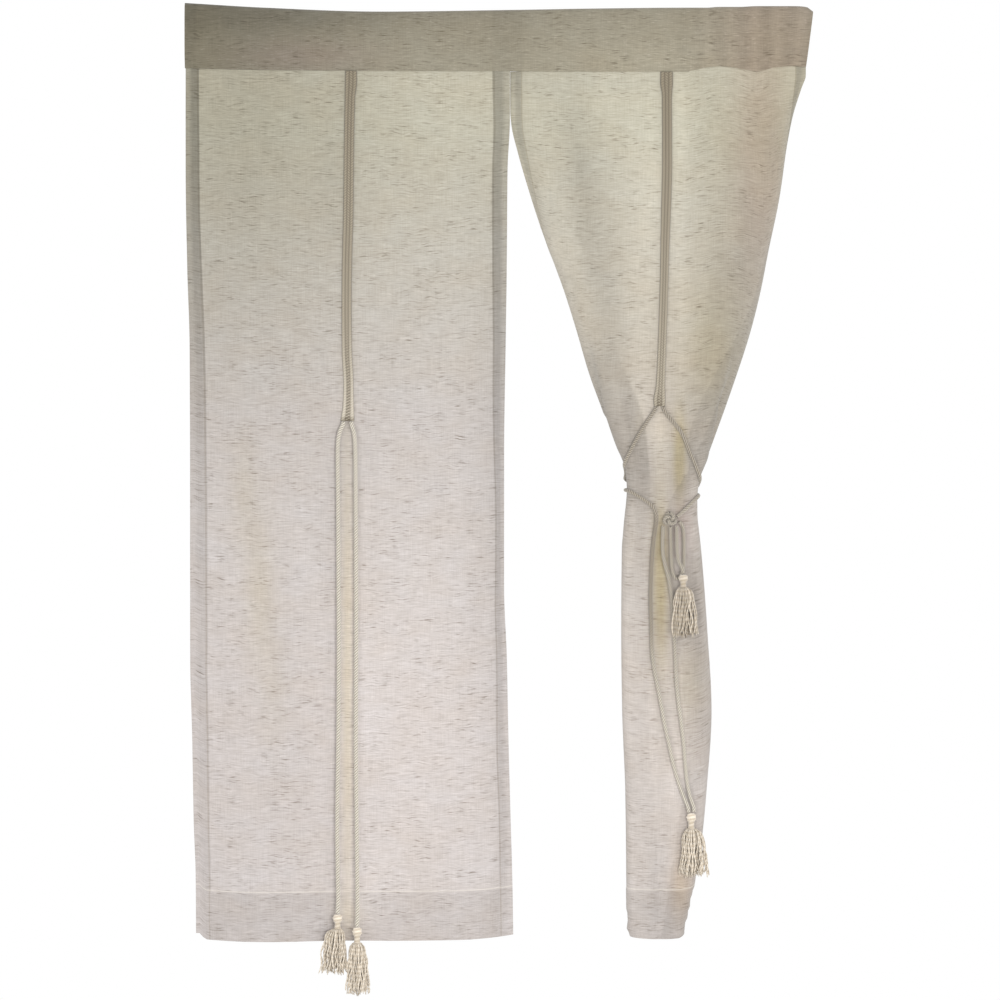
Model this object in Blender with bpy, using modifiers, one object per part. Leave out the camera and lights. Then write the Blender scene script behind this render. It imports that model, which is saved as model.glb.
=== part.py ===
# Noren doorway curtain: two hemmed linen panels under one rod pocket.
# The left panel hangs straight and the right one is drawn in by its own tie cords.
# Metres, Z up, front towards -Y, origin at the middle of the top edge.

import math

import bmesh
import bpy
import numpy as np
from mathutils import Vector

MM = 0.001

# Driving sizes
GAP = 0.0004
CLOTH_THICK = 0.0013
HEM_THICK = 0.0023
SIDE_HEM = 0.016
BOTTOM_HEM = 0.064
HEM_STEP = 0.001
POCKET_DEPTH = 0.014
POCKET_WALL = 0.0013
SEAM_BAND = 0.009
# The heading's right end leans outwards and is puckered
LEAN = 0.009
LEAN_START = 0.330
LEAN_RUN = 0.063
PUCKER_DEPTH = 0.0012
PUCKER_PITCH = 0.007
LEFT_LENGTH = 1.112
LEFT_HALF_CLOTH = 0.2075
RIGHT_LENGTH = 1.110
HALF_CLOTH = 0.2007
LEFT_COLUMN = 0.025
LEFT_ROW = 0.085
# The left panel's folds start below the seam and deepen as they fall
FOLD_START = 0.08
FOLD_FALL = 1.1
FOLD_GROWTH = 1.4
SIDE_RADIUS = 0.0105
PLEAT_RADIUS = 0.0046
PLEAT_RUN = 0.0198
PLEAT_WIDTH = 0.047
WIDEST_FRONT = 0.060
CENTRE_GAP = 0.006
FOLD_COLUMNS = (4, 5, 2, 3, 2, 3, 2, 3, 2)
HEM_COLUMNS = 3
# Where a roll of the cloth starts, its bend comes in over twice this run
FOLD_EASE = 0.006
# Rows of the right panel, metres down the cloth: close at the seam and where it is drawn in
RIGHT_ROWS = (0, 0.005, 0.015, 0.03, 0.05, 0.075, 0.11, 0.15, 0.2, 0.25, 0.3, 0.345, 0.385, 0.42,
              0.455, 0.483, 0.503, 0.518, 0.531, 0.545, 0.565, 0.588, 0.645, 0.73, 0.83, 0.94)
CORD_DIAMETER = 0.0056
TIE_DIAMETER = 0.0048
BRAID_DEPTH = 0.0034
BRAID_RIDGES = 4
BRAID_STEP = 27
# A cord's points: one for this run and one for this much turn, in radians
CORD_STEP = 0.024
CORD_TURN = 0.55
KNOT_STEPS = 30
TASSEL_STRANDS = 26
# The roots of a tassel's threads, in millimetres: their ring, how deep they sit, the skirt's half depth
ROOT_RADIUS = 4.2
ROOT_SUNK = 3.0
SKIRT_HALF_DEPTH = 6.0

# Heading outline, in millimetres: across, height of the top edge, drop of the lower seam
HEADING_EDGE = [
    (-402, 9, 74.5),
    (-385, 8, 75),
    (-300, 3, 77),
    (-152, -2, 78),
    (10, 0, 78.5),
    (130, 2, 79),
    (238, 3, 79),
    (266, 3, 73.5),
    (282, 4, 72),
    (308, 4, 75),
    (330, 5, 79),
    (352, 5, 73.5),
    (378, 5, 72),
    (393, 4, 74),
    (402, -2, 76),
]

# Half of the heading's section: share of its height from the top, share of its half depth
POCKET_SIDE = [
    (0.02, 0.45),
    (0.08, 0.80),
    (0.22, 1.00),
    (0.50, 1.00),
    (0.80, 0.90),
    (0.92, 0.45),
    (1.00, 0.214),
]
HOLLOW_SIDE = [
    (0.03, 0.45),
    (0.09, 0.78),
    (0.22, 1.00),
    (0.50, 1.00),
    (0.84, 0.88),
    (0.96, 0.45),
    (1.00, 0.12),
]

# Left panel, in millimetres: drop, left edge, right edge
LEFT_PANEL = [
    (70, -401, 13.9),
    (147, -401, 13.9),
    (205, -401, 11),
    (330, -399, 10),
    (430, -396, 8.5),
    (580, -395.5, 6.5),
    (740, -395.5, 6.5),
    (830, -395.5, 10),
    (930, -393, 12),
    (1040, -391, 15),
    (1110, -388.5, 17),
    (1200, -388, 18.5),
]

# Soft folds of the left panel, in millimetres: across, half width, depth at the bottom
LEFT_FOLDS = [
    (-395, 45, 8),
    (-300, 60, -9),
    (-195, 55, 8),
    (-105, 50, 5),
    (-40, 45, -5),
    (15, 40, 9),
]

# Lower edge of the left panel, in millimetres: across, drop
LEFT_BOTTOM = [
    (-390, 1182),
    (-380, 1190),
    (-300, 1192),
    (-150, 1192),
    (-60, 1190),
    (-10, 1187),
    (20, 1181),
]

# Right panel, in millimetres: drop, left fold, middle line, right fold, cloth in the left half,
# cloth in the right half, roll radius at the left, at the right, how far the rolls are pressed
# into pleats (in thousandths), front
RIGHT_PANEL = [
    (70, 14.2, 215, 393, 200.7, 178, 150, 32, 0, 0),
    (84, 14.2, 215, 393, 200.7, 178, 150, 32, 0, 0),
    (95, 14.2, 215, 389, 200.7, 177.5, 150, 32, 0, -1),
    (107, 14.2, 215, 385, 200.7, 178, 150, 33, 0, -2),
    (128, 14.2, 215, 379, 200.7, 182, 150, 38, 0, -3),
    (147, 15.0, 215, 372, 200.7, 186, 150, 44, 0, -5),
    (179, 21.8, 215, 366, 200.7, 192, 130, 50, 0, -8),
    (230, 37, 214.5, 359.7, 200.7, 198, 92, 56, 0, -13),
    (307, 64, 212.5, 344.3, 200.7, 201, 62, 58, 0, -19),
    (358, 83, 211, 334, 200.7, 201, 55, 54, 0, -23),
    (410, 98.6, 210, 320, 200.7, 201, 47, 48, 40, -26),
    (461, 112.6, 207, 304.6, 200.7, 201, 38, 41, 180, -28),
    (512, 131.8, 204.5, 288, 200.7, 201, 30, 33, 480, -28),
    (563, 151, 205, 270, 200.7, 201, 25, 27, 830, -26),
    (573, 157.5, 206.5, 266.5, 200.7, 201, 24, 26, 900, -25.4),
    (583, 164.6, 208, 263, 200.7, 201, 23, 25, 960, -24.6),
    (592, 166.2, 208.6, 258.4, 200.7, 201, 22, 24, 1000, -23.8),
    (602, 166.2, 208.6, 251.6, 200.7, 201, 22, 24, 1000, -23),
    (626, 166, 208.6, 251, 200.7, 201, 22, 24, 1000, -22),
    (646, 162.6, 207.8, 252.8, 200.7, 201, 22, 24, 1000, -22),
    (690, 158, 207.5, 257, 200.7, 201, 22, 24, 1000, -22),
    (794, 156.2, 210, 266, 200.7, 201, 22, 24, 1000, -22),
    (896, 157.4, 212, 271.4, 200.7, 201, 22, 24, 1000, -22),
    (998, 161.3, 212.5, 265, 200.7, 201, 22, 24, 1000, -22),
    (1060, 162.2, 211, 259, 200.7, 201, 22, 24, 1000, -22),
    (1110, 162.6, 208, 251, 200.7, 201, 22, 24, 1000, -22),
    (1200, 164, 204, 240, 200.7, 201, 22, 24, 1000, -22),
]

# Soft folds on the right panel's face: place and half width in thousandths of the way from the middle
# line to the side fold, then in millimetres its depth, and the drops where it starts, is full, fades and ends
RIGHT_FOLDS = [
    (-680, 170, 6, 100, 230, 400, 520),
    (-360, 120, -4, 100, 230, 400, 500),
    (420, 150, 5, 100, 230, 380, 490),
    (0, 200, 5, 615, 690, 800, 980),
]

# Sewn braids, in millimetres: drop, middle line, width
LEFT_BRAID = [
    (78.3, -190, 15),
    (95, -190, 17),
    (110, -190, 14.5),
    (300, -191.5, 15),
    (470, -193.5, 16.5),
    (526, -194, 18),
]
RIGHT_BRAID = [
    (79.5, 215, 15),
    (95, 215, 16.5),
    (110, 215, 14.5),
    (300, 212.5, 14.5),
    (430, 208.5, 15.5),
    (508, 204.3, 18.5),
]

# Cords, in millimetres: across, depth, drop, from the braid or the knot to the far end
CORD_ROUTES = {
    "cord_left_1": [
        (-199.0, -3.3, 526.9),
        (-199.6, -3.4, 531.0),
        (-204.4, -3.8, 543.0),
        (-206.2, -4.4, 565.0),
        (-205.8, -4.4, 620.0),
        (-205.4, -4.4, 704.0),
        (-204.9, -4.4, 806.0),
        (-205.5, -4.6, 934.0),
        (-206.8, -4.8, 1037.0),
        (-206.2, -5.2, 1100.0),
        (-205.6, -6.4, 1135.0),
        (-206.2, -8.4, 1155.7),
    ],
    "cord_left_2": [
        (-189.0, -3.3, 527.0),
        (-188.5, -3.4, 531.0),
        (-185.2, -3.8, 543.0),
        (-183.6, -4.4, 565.0),
        (-183.2, -4.4, 620.0),
        (-182.8, -4.4, 704.0),
        (-182.6, -4.4, 806.0),
        (-183.0, -4.6, 934.0),
        (-182.0, -4.8, 1037.0),
        (-181.2, -5.4, 1110.0),
        (-180.8, -7.6, 1150.0),
        (-181.2, -9.6, 1172.2),
    ],
    "cord_right_long": [
        (209.2, -32.0, 509.0),
        (210.2, -32.1, 513.0),
        (215.2, -32.1, 520.5),
        (222.2, -31.9, 528.5),
        (230.4, -31.4, 539.0),
        (236.2, -30.9, 549.5),
        (240.8, -30.3, 561.0),
        (245.4, -29.9, 572.0),
        (249.2, -29.3, 580.5),
        (252.2, -28.3, 588.0),
        (255.2, -25.8, 595.0),
        (256.2, -18.7, 600.0),
        (255.8, -8.5, 604.0),
        (255.2, 4.0, 606.5),
        (255.0, 16.0, 608.5),
        (252.8, 29.0, 610.5),
        (242.0, 36.4, 612.0),
        (226.0, 39.0, 613.0),
        (211.0, 41.0, 613.0),
        (196.0, 41.0, 613.0),
        (181.0, 38.0, 613.5),
        (166.8, 33.0, 614.0),
        (162.8, 21.0, 614.4),
        (162.8, 8.0, 614.6),
        (162.8, -6.0, 614.6),
        (163.2, -15.4, 615.0),
        (167.2, -23.2, 616.4),
        (173.4, -26.2, 619.8),
        (182.0, -26.4, 625.2),
        (189.8, -26.0, 630.4),
        (195.8, -26.0, 636.0),
        (199.6, -26.0, 643.0),
        (200.6, -26.0, 652.0),
        (199.2, -26.0, 664.0),
        (197.0, -26.0, 678.5),
        (195.2, -26.0, 699.0),
        (193.7, -26.0, 723.0),
        (193.3, -26.0, 755.0),
        (193.9, -26.0, 787.0),
        (194.8, -26.0, 819.0),
        (197.6, -26.0, 842.0),
        (202.2, -26.0, 865.5),
        (207.0, -26.0, 891.0),
        (211.2, -26.0, 914.0),
        (216.3, -26.0, 937.0),
        (221.8, -26.0, 962.5),
        (228.6, -26.0, 987.0),
        (235.0, -27.0, 1004.5),
        (240.2, -28.6, 1017.0),
        (241.6, -29.6, 1025.0),
    ],
    "cord_right_tie": [
        (199.4, -32.0, 509.1),
        (198.3, -32.1, 513.0),
        (192.2, -32.1, 522.0),
        (185.8, -31.8, 531.5),
        (179.6, -31.4, 541.5),
        (173.8, -30.9, 552.0),
        (168.4, -30.2, 562.5),
        (164.2, -28.4, 571.0),
        (161.1, -25.0, 577.0),
        (159.9, -18.2, 582.0),
        (161.1, -9.0, 586.5),
        (162.4, 2.0, 591.0),
        (162.6, 14.0, 596.0),
        (162.7, 27.2, 600.0),
        (168.0, 35.4, 603.5),
        (181.0, 36.0, 606.0),
        (195.0, 34.6, 607.5),
        (211.0, 33.6, 613.0),
        (227.0, 34.6, 618.0),
        (242.0, 35.0, 619.0),
        (252.8, 28.0, 620.0),
        (254.8, 14.5, 620.6),
        (255.0, 2.0, 621.0),
        (254.8, -10.5, 621.8),
        (252.6, -20.4, 624.2),
        (247.2, -25.4, 629.5),
        (241.0, -26.8, 635.5),
        (234.4, -27.2, 642.0),
        (226.9, -28.3, 648.6),
    ],
    "cord_second": [
        (209.0, -27.2, 660.1),
        (208.4, -26.0, 679.0),
        (208.8, -26.0, 695.0),
        (212.0, -26.0, 711.5),
        (216.3, -26.0, 728.0),
        (219.8, -26.0, 750.0),
        (222.2, -26.0, 781.0),
        (224.2, -26.0, 819.0),
        (225.8, -26.0, 857.0),
        (228.8, -26.0, 887.0),
        (232.0, -26.0, 911.0),
        (235.0, -26.0, 936.0),
        (237.0, -26.0, 961.0),
        (239.4, -26.0, 985.5),
        (243.2, -27.0, 1004.5),
        (247.4, -28.8, 1017.0),
        (248.0, -29.6, 1024.2),
    ],
    "cord_loop": [
        (229.3, -27.6, 654.9),
        (233.8, -26.0, 661.0),
        (235.4, -26.0, 673.0),
        (235.6, -26.0, 697.0),
        (234.6, -26.0, 714.0),
        (231.0, -26.0, 724.5),
        (227.0, -26.0, 727.5),
        (223.0, -26.0, 724.0),
        (220.2, -26.0, 712.0),
        (219.4, -26.0, 695.0),
        (218.8, -26.0, 678.0),
        (218.2, -27.8, 661.1),
    ],
    "cord_short": [
        (226.0, -29.0, 660.1),
        (226.4, -31.8, 675.0),
        (226.6, -33.2, 690.0),
        (228.4, -34.6, 704.0),
        (232.6, -36.0, 713.5),
        (234.2, -36.4, 720.7),
    ],
}

# Front knot, in millimetres: across, depth, drop, ring radius, spread of the turns, thickness
KNOT = (217.6, -28.4, 651.5, 5.6, 2.9, 4.4)

# Tassels, in millimetres: node, across, depth, drop of the top, of the skirt's top and of its end,
# reach to the left and to the right
TASSELS = [
    ("tassel_left_1", -206.2, -8.6, 1156.4, 1178, 1236, 27, 9),
    ("tassel_left_2", -181.2, -9.8, 1172.9, 1196, 1262, 15, 18),
    ("tassel_short", 234.2, -36.4, 722, 741, 805, 16.5, 22),
    ("tassel_long", 244.7, -29.8, 1025.5, 1048, 1111, 15, 25),
]

# Tassel head, turned: share of its height, radius in millimetres
TASSEL_HEAD = [
    (0.00, 0.0),
    (0.00, 3.4),
    (0.07, 4.9),
    (0.24, 5.7),
    (0.42, 5.0),
    (0.52, 3.7),
    (0.70, 4.0),
    (0.88, 5.6),
    (1.00, 5.7),
    (1.04, 5.2),
    (1.04, 0.0),
]


def clearScene():
    for item in list(bpy.data.objects):
        bpy.data.objects.remove(item, do_unlink=True)


def makeCollection(name):
    group = bpy.data.collections.new(name)
    bpy.context.scene.collection.children.link(group)
    return group


def makeMaterial(name, colour, roughness):
    material = bpy.data.materials.new(name)
    material.use_nodes = True
    surface = material.node_tree.nodes["Principled BSDF"]
    surface.inputs["Base Color"].default_value = (*colour, 1.0)
    surface.inputs["Roughness"].default_value = roughness
    surface.inputs["Metallic"].default_value = 0.0
    return material


def column(table, index):
    return np.array([row[index] for row in table], dtype=float) * MM


def smooth(at, table, index):
    # One column of a table read at the given places, on a curve that doesn't overshoot
    x = column(table, 0)
    y = column(table, index)
    steps = np.diff(x)
    slopes = np.diff(y) / steps
    tangents = np.zeros(len(x))
    tangents[0] = slopes[0]
    tangents[-1] = slopes[-1]
    for k in range(1, len(x) - 1):
        if slopes[k - 1] * slopes[k] > 0:
            before = 2 * steps[k] + steps[k - 1]
            after = steps[k] + 2 * steps[k - 1]
            tangents[k] = (before + after) / (before / slopes[k - 1] + after / slopes[k])
    at = np.clip(np.asarray(at, dtype=float), x[0], x[-1])
    k = np.clip(np.searchsorted(x, at, side="right") - 1, 0, len(x) - 2)
    t = (at - x[k]) / steps[k]
    start = (1 + 2 * t) * (1 - t) ** 2 * y[k] + t * (1 - t) ** 2 * steps[k] * tangents[k]
    end = t ** 2 * (3 - 2 * t) * y[k + 1] + t ** 2 * (t - 1) * steps[k] * tangents[k + 1]
    return start + end


def hemmedStops(stops, length, hem):
    # Stops along the cloth with a narrow step where the hem's second layer begins
    inside = [s for s in stops if s < length - hem - HEM_STEP * 2]
    return inside + [length - hem - HEM_STEP, length - hem, length - hem / 2, length]


def pleatFolds(width):
    # Where the folds behind begin and end, in metres of cloth from the middle line
    pleat = min(width, PLEAT_WIDTH)
    side = min(width, WIDEST_FRONT) - SIDE_RADIUS
    second = pleat - SIDE_RADIUS + math.pi * SIDE_RADIUS + pleat - SIDE_RADIUS - CENTRE_GAP - PLEAT_RADIUS
    turn = math.pi * PLEAT_RADIUS
    third = second + turn + PLEAT_RUN
    fourth = third + turn + PLEAT_RUN
    return side, side + math.pi * SIDE_RADIUS, second, second + turn, third, third + turn, fourth, fourth + turn


def rightStops(width):
    # Columns of the right panel, closer together where its folds are
    folds = pleatFolds(width)
    tail = HALF_CLOTH - SIDE_HEM - HEM_STEP
    ends = [0.0, *folds, tail]
    stops = [0.0]
    for begin, finish, count in zip(ends, ends[1:], FOLD_COLUMNS):
        stops = stops + [begin + (finish - begin) * k / count for k in range(1, count + 1)]
    return np.array(stops + [HALF_CLOTH - SIDE_HEM, HALF_CLOTH - SIDE_HEM / 2, HALF_CLOTH])


def headingStations():
    # Over the gathers at the right every second station stands on a column of the panel below
    plain = [x * MM for x in (-402, -385, -345, -290, -215, -140, -65, 10, 80, 145, 195)]
    top = RIGHT_PANEL[0]
    middle = top[2] * MM
    reach = top[3] * MM - middle
    gathered = [middle + stop / HALF_CLOTH * reach for stop in rightStops(reach)[::2]]
    return np.array(plain + gathered)


def seamDrop(across):
    stations = headingStations()
    return np.interp(across, stations, smooth(stations, HEADING_EDGE, 2))


def addObject(name, mesh, group, material):
    item = bpy.data.objects.new(name, mesh)
    group.objects.link(item)
    item.data.materials.append(material)
    return item


def addSheet(name, places, isHem, group, material):
    # A grid laid on the given places, thicker where the cloth is turned over as a hem
    rows, columns = isHem.shape
    body = bmesh.new()
    bmesh.ops.create_grid(body, x_segments=columns - 1, y_segments=rows - 1, size=1.0)
    corners = sorted(body.verts, key=lambda v: (round(-v.co.y, 4), round(v.co.x, 4)))
    for k, corner in enumerate(corners):
        corner.co = places[k // columns, k % columns]
        corner.index = k
    body.verts.sort()
    mesh = bpy.data.meshes.new(name)
    body.to_mesh(mesh)
    body.free()
    item = addObject(name, mesh, group, material)
    hems = item.vertex_groups.new(name="hems")
    hems.add([int(k) for k in np.flatnonzero(isHem.ravel())], 1.0, "REPLACE")
    solid = item.modifiers.new("thickness", "SOLIDIFY")
    solid.thickness = HEM_THICK
    solid.offset = 0.0
    solid.vertex_group = "hems"
    solid.thickness_vertex_group = CLOTH_THICK / HEM_THICK
    mesh.shade_smooth()
    return item


def leftDepth(across, drop):
    # How far the left panel's middle lies behind the hanging plane
    share = np.clip((drop - FOLD_START) / FOLD_FALL, 0, 1) ** FOLD_GROWTH
    depth = np.zeros(np.broadcast(across, drop).shape)
    for middle, halfWidth, deep in LEFT_FOLDS:
        depth = depth + deep * MM * share * np.exp(-((across - middle * MM) / (halfWidth * MM)) ** 2)
    return depth


def buildLeftPanel(group, material):
    half = LEFT_HALF_CLOTH
    length = LEFT_LENGTH
    stops = hemmedStops([0.0, 0.012] + [0.03 + k * LEFT_COLUMN for k in range(7)], half, SIDE_HEM)
    along = np.array([-s for s in reversed(stops[1:])] + stops) / half
    rows = hemmedStops([k * LEFT_ROW for k in range(14)], length, BOTTOM_HEM)
    fall = np.array(rows) / length
    places = np.zeros((len(fall), len(along), 3))
    isHem = np.zeros((len(fall), len(along)), dtype=bool)
    for i, share in enumerate(fall):
        for j, side in enumerate(along):
            across = smooth(0.6, LEFT_PANEL, 1) * (1 - side) / 2 + smooth(0.6, LEFT_PANEL, 2) * (1 + side) / 2
            top = seamDrop(across) + GAP
            bottom = smooth(across, LEFT_BOTTOM, 1)
            drop = top + (bottom - top) * share
            left = smooth(drop, LEFT_PANEL, 1)
            right = smooth(drop, LEFT_PANEL, 2)
            across = left * (1 - side) / 2 + right * (1 + side) / 2
            if i == 0:
                drop = seamDrop(across) + GAP
            places[i, j] = (across, leftDepth(across, drop), -drop)
            sideHem = abs(side) * half > half - SIDE_HEM - HEM_STEP / 2
            isHem[i, j] = sideHem or share * length > length - BOTTOM_HEM - HEM_STEP / 2
    return addSheet("panel_left", places, isHem, group, material)


def pleatBends(width, start, places):
    # Bend of the cloth where it is pressed flat: round the side fold, back to the middle,
    # then to and fro behind
    side, sideEnd, *folds = pleatFolds(width)
    bend = np.where((places >= start) & (places < start + sideEnd - side), 1 / SIDE_RADIUS, 0.0)
    way = -1
    for begin, finish in zip(folds[::2], folds[1::2]):
        bend = np.where((places >= begin) & (places < finish), way / PLEAT_RADIUS, bend)
        way = -way
    return bend


def foldSection(width, cloth, roll, pressed):
    # Half of the gathered panel from above: straight out, then rolled or pleated behind,
    # so that it reaches just as far out as it shows from the front
    s = np.linspace(0, cloth, 401)
    step = s[1]
    low = -roll
    high = cloth
    for _ in range(26):
        start = (low + high) / 2
        ease = np.clip((s - start + FOLD_EASE) / (2 * FOLD_EASE), 0, 1)
        bend = ease / roll * (1 - pressed) + pleatBends(width, start, s) * pressed
        turn = np.cumsum(bend) * step
        turn = turn - turn[0]
        out = np.cumsum(np.cos(turn)) * step
        if out.max() > width:
            high = start
        else:
            low = start
    back = np.cumsum(np.sin(turn)) * step
    return s, out - out[0], back - back[0]


def rightColumns(side, sides, drops):
    # Columns of one half at one level: the folds behind hang higher than the front
    columns = []
    for share in (0.25, 0.6):
        drop = np.interp(side * share, sides, drops)
        edge = smooth(drop, RIGHT_PANEL, 3 if side > 0 else 1)
        columns.append(rightStops(abs(float(edge - smooth(drop, RIGHT_PANEL, 2)))))
    front = sum(FOLD_COLUMNS[:2])
    return np.concatenate([columns[0][:front + 1], columns[1][front + 1:]])


def frontFolds(reach, drop):
    # Depth that the soft folds add, by how far towards its side fold a place on the face lies
    depth = np.zeros(len(reach))
    for place, half, deep, starts, full, fades, ends in RIGHT_FOLDS:
        strength = np.interp(drop / MM, (starts, full, fades, ends), (0, 1, 1, 0))
        depth = depth + deep * MM * strength * np.exp(-((reach * 1000 - place) / half) ** 2)
    return depth


def rightCloth(levels):
    # The right panel's middle surface: one row of places for each distance down the cloth
    drops = np.arange(0.070, 1.2001, 0.01)
    shares = np.linspace(0, 1, 101)
    sides = np.concatenate([-shares[:0:-1], shares])
    across = np.zeros((len(drops), len(sides)))
    depth = np.zeros((len(drops), len(sides)))
    for k, drop in enumerate(drops):
        row = [float(smooth(drop, RIGHT_PANEL, n)) for n in range(1, 10)]
        left, middle, right, clothLeft, clothRight, rollLeft, rollRight, pressed, front = row
        for side, width, cloth, roll in ((-1, middle - left, clothLeft, rollLeft),
                                         (1, right - middle, clothRight, rollRight)):
            s, out, back = foldSection(width, cloth, roll, pressed)
            mine = sides <= 0 if side < 0 else sides >= 0
            at = np.abs(sides[mine]) * cloth
            across[k, mine] = middle + side * np.interp(at, s, out)
            depth[k, mine] = front + np.interp(at, s, back) + frontFolds(side * at / width, drop)
    steps = np.sqrt(np.diff(across, axis=0) ** 2 + np.diff(depth, axis=0) ** 2 + np.diff(drops)[:, None] ** 2)
    path = np.vstack([np.zeros(len(sides)), np.cumsum(steps, axis=0)])
    tops = seamDrop(across[0]) + GAP
    rows = []
    for level in levels:
        lines = range(len(sides))
        down = [level + np.interp(tops[j], drops, path[:, j]) for j in lines]
        x = np.array([np.interp(down[j], path[:, j], across[:, j]) for j in lines])
        y = np.array([np.interp(down[j], path[:, j], depth[:, j]) for j in lines])
        z = np.array([np.interp(down[j], path[:, j], drops) for j in lines])
        stopsLeft = rightColumns(-1, sides, z) / HALF_CLOTH
        stopsRight = rightColumns(1, sides, z) / HALF_CLOTH
        at = np.concatenate([-stopsLeft[:0:-1], stopsRight])
        row = np.stack([np.interp(at, sides, values) for values in (x, y, -z)], axis=1)
        if level == 0:
            row[:, 2] = -(seamDrop(row[:, 0]) + GAP)
        rows.append(row)
    return np.array(rows)


def buildRightPanel(group, material):
    falls = hemmedStops(RIGHT_ROWS, RIGHT_LENGTH, BOTTOM_HEM)
    places = rightCloth(falls)
    isHem = np.zeros(places.shape[:2], dtype=bool)
    isHem[:, :HEM_COLUMNS] = True
    isHem[:, -HEM_COLUMNS:] = True
    isHem[-3:, :] = True
    return addSheet("panel_right", places, isHem, group, material)


def rightFront(across, drop):
    # Depth of the right panel's middle where it faces the front
    return float(smooth(drop, RIGHT_PANEL, 9))


def loft(body, rings, capped=True):
    # Rings of equal length joined side by side, with a face over each end
    loops = [[body.verts.new(corner) for corner in ring] for ring in rings]
    count = len(loops[0])
    for lower, upper in zip(loops, loops[1:]):
        for k in range(count):
            body.faces.new((lower[k], lower[(k + 1) % count], upper[(k + 1) % count], upper[k]))
    if capped:
        body.faces.new(list(reversed(loops[0])))
        body.faces.new(loops[-1])
    return loops


def meshFrom(body, name):
    bmesh.ops.recalc_face_normals(body, faces=body.faces)
    mesh = bpy.data.meshes.new(name)
    body.to_mesh(mesh)
    body.free()
    mesh.shade_smooth()
    mesh.set_sharp_from_angle(angle=math.radians(50))
    return mesh


def pocketRing(across, top, bottom, halfDepth, sides, lean, pucker):
    # One section of the heading, down its front and up its back
    down = [(0.0, 0.0)] + [(share, -deep) for share, deep in sides]
    up = [(share, deep) for share, deep in reversed(sides)]
    ring = []
    for share, deep in down + up:
        drop = top + (bottom - top) * share
        forward = pucker if deep < 0 and 0.1 < share < 0.9 else 0.0
        ring.append(Vector((across + lean * (1 - share), deep * halfDepth - forward, -drop)))
    return ring


def buildHeading(group, material):
    outer = []
    inner = []
    for x in headingStations():
        rightEnd = max(0.0, (x - LEAN_START) / LEAN_RUN)
        pucker = max(0.0, rightEnd * PUCKER_DEPTH * math.sin(x / PUCKER_PITCH))
        lean = LEAN * rightEnd ** 2
        top = -float(smooth(x + lean, HEADING_EDGE, 1))
        bottom = float(seamDrop(x))
        outer.append(pocketRing(x, top, bottom, POCKET_DEPTH / 2, POCKET_SIDE, lean, pucker))
        halfHollow = POCKET_DEPTH / 2 - POCKET_WALL
        inner.append(pocketRing(x, top + POCKET_WALL, bottom - SEAM_BAND, halfHollow, HOLLOW_SIDE, lean, pucker))
    body = bmesh.new()
    skin = loft(body, outer, capped=False)
    lining = loft(body, inner, capped=False)
    for end in (0, -1):
        count = len(skin[end])
        for k in range(count):
            n = (k + 1) % count
            body.faces.new((skin[end][k], lining[end][k], lining[end][n], skin[end][n]))
    return addObject("heading", meshFrom(body, "heading"), group, material)


def buildBraid(name, table, depthAt, group, material):
    # A strip with rounded ridges side by side, lying on the face of the cloth
    first = table[0][0]
    last = table[-1][0]
    count = round((last - first) / BRAID_STEP)
    rings = []
    for k in range(count + 1):
        drop = (first + (last - first) * k / count) * MM
        middle = float(smooth(drop, table, 1))
        half = float(smooth(drop, table, 2)) / 2
        ring = []
        for n in range(2 * BRAID_RIDGES + 1):
            side = n / BRAID_RIDGES - 1
            rise = BRAID_DEPTH if n % 2 else BRAID_DEPTH * 0.5
            ring.append((middle + side * half * 0.96, rise))
        ring = [(middle - half, 0.0)] + ring + [(middle + half, 0.0)]
        back = CLOTH_THICK / 2 + GAP
        rings.append([Vector((x, depthAt(x, drop) - back - rise, -drop)) for x, rise in ring])
    body = bmesh.new()
    loft(body, rings)
    return addObject(name, meshFrom(body, name), group, material)


def smoothPath(route, step):
    # Points on a smooth curve through the route, closer together where it bends
    points = [Vector((across, depth, -drop)) * MM for across, depth, drop in route]
    points = [points[0] * 2 - points[1]] + points + [points[-1] * 2 - points[-2]]
    fine = []
    for a, b, c, d in zip(points, points[1:], points[2:], points[3:]):
        for k in range(16):
            t = k / 16
            fine.append(((b * 2) + (c - a) * t + (a * 2 - b * 5 + c * 4 - d) * t ** 2
                         + (b * 3 - a - c * 3 + d) * t ** 3) / 2)
    fine.append(points[-2])
    ways = [b - a for a, b in zip(fine, fine[1:])]
    efforts = [0.0]
    for way, following in zip(ways, ways[1:] + ways[-1:]):
        efforts.append(efforts[-1] + way.length / step + way.angle(following, 0.0) / CORD_TURN)
    count = max(2, round(efforts[-1]))
    path = []
    k = 0
    for n in range(count + 1):
        at = efforts[-1] * n / count
        while k < len(efforts) - 2 and efforts[k + 1] < at:
            k += 1
        share = (at - efforts[k]) / (efforts[k + 1] - efforts[k])
        path.append(fine[k].lerp(fine[k + 1], share))
    return path


def addTube(name, path, radius, group, material, closed=False):
    curve = bpy.data.curves.new(name, "CURVE")
    curve.dimensions = "3D"
    curve.bevel_depth = radius
    curve.bevel_resolution = 2
    curve.use_fill_caps = not closed
    strand = curve.splines.new("POLY")
    strand.points.add(len(path) - 1)
    for point, place in zip(strand.points, path):
        point.co = (*place, 1.0)
    strand.use_cyclic_u = closed
    item = bpy.data.objects.new(name, curve)
    group.objects.link(item)
    item.data.materials.append(material)
    return item


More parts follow.
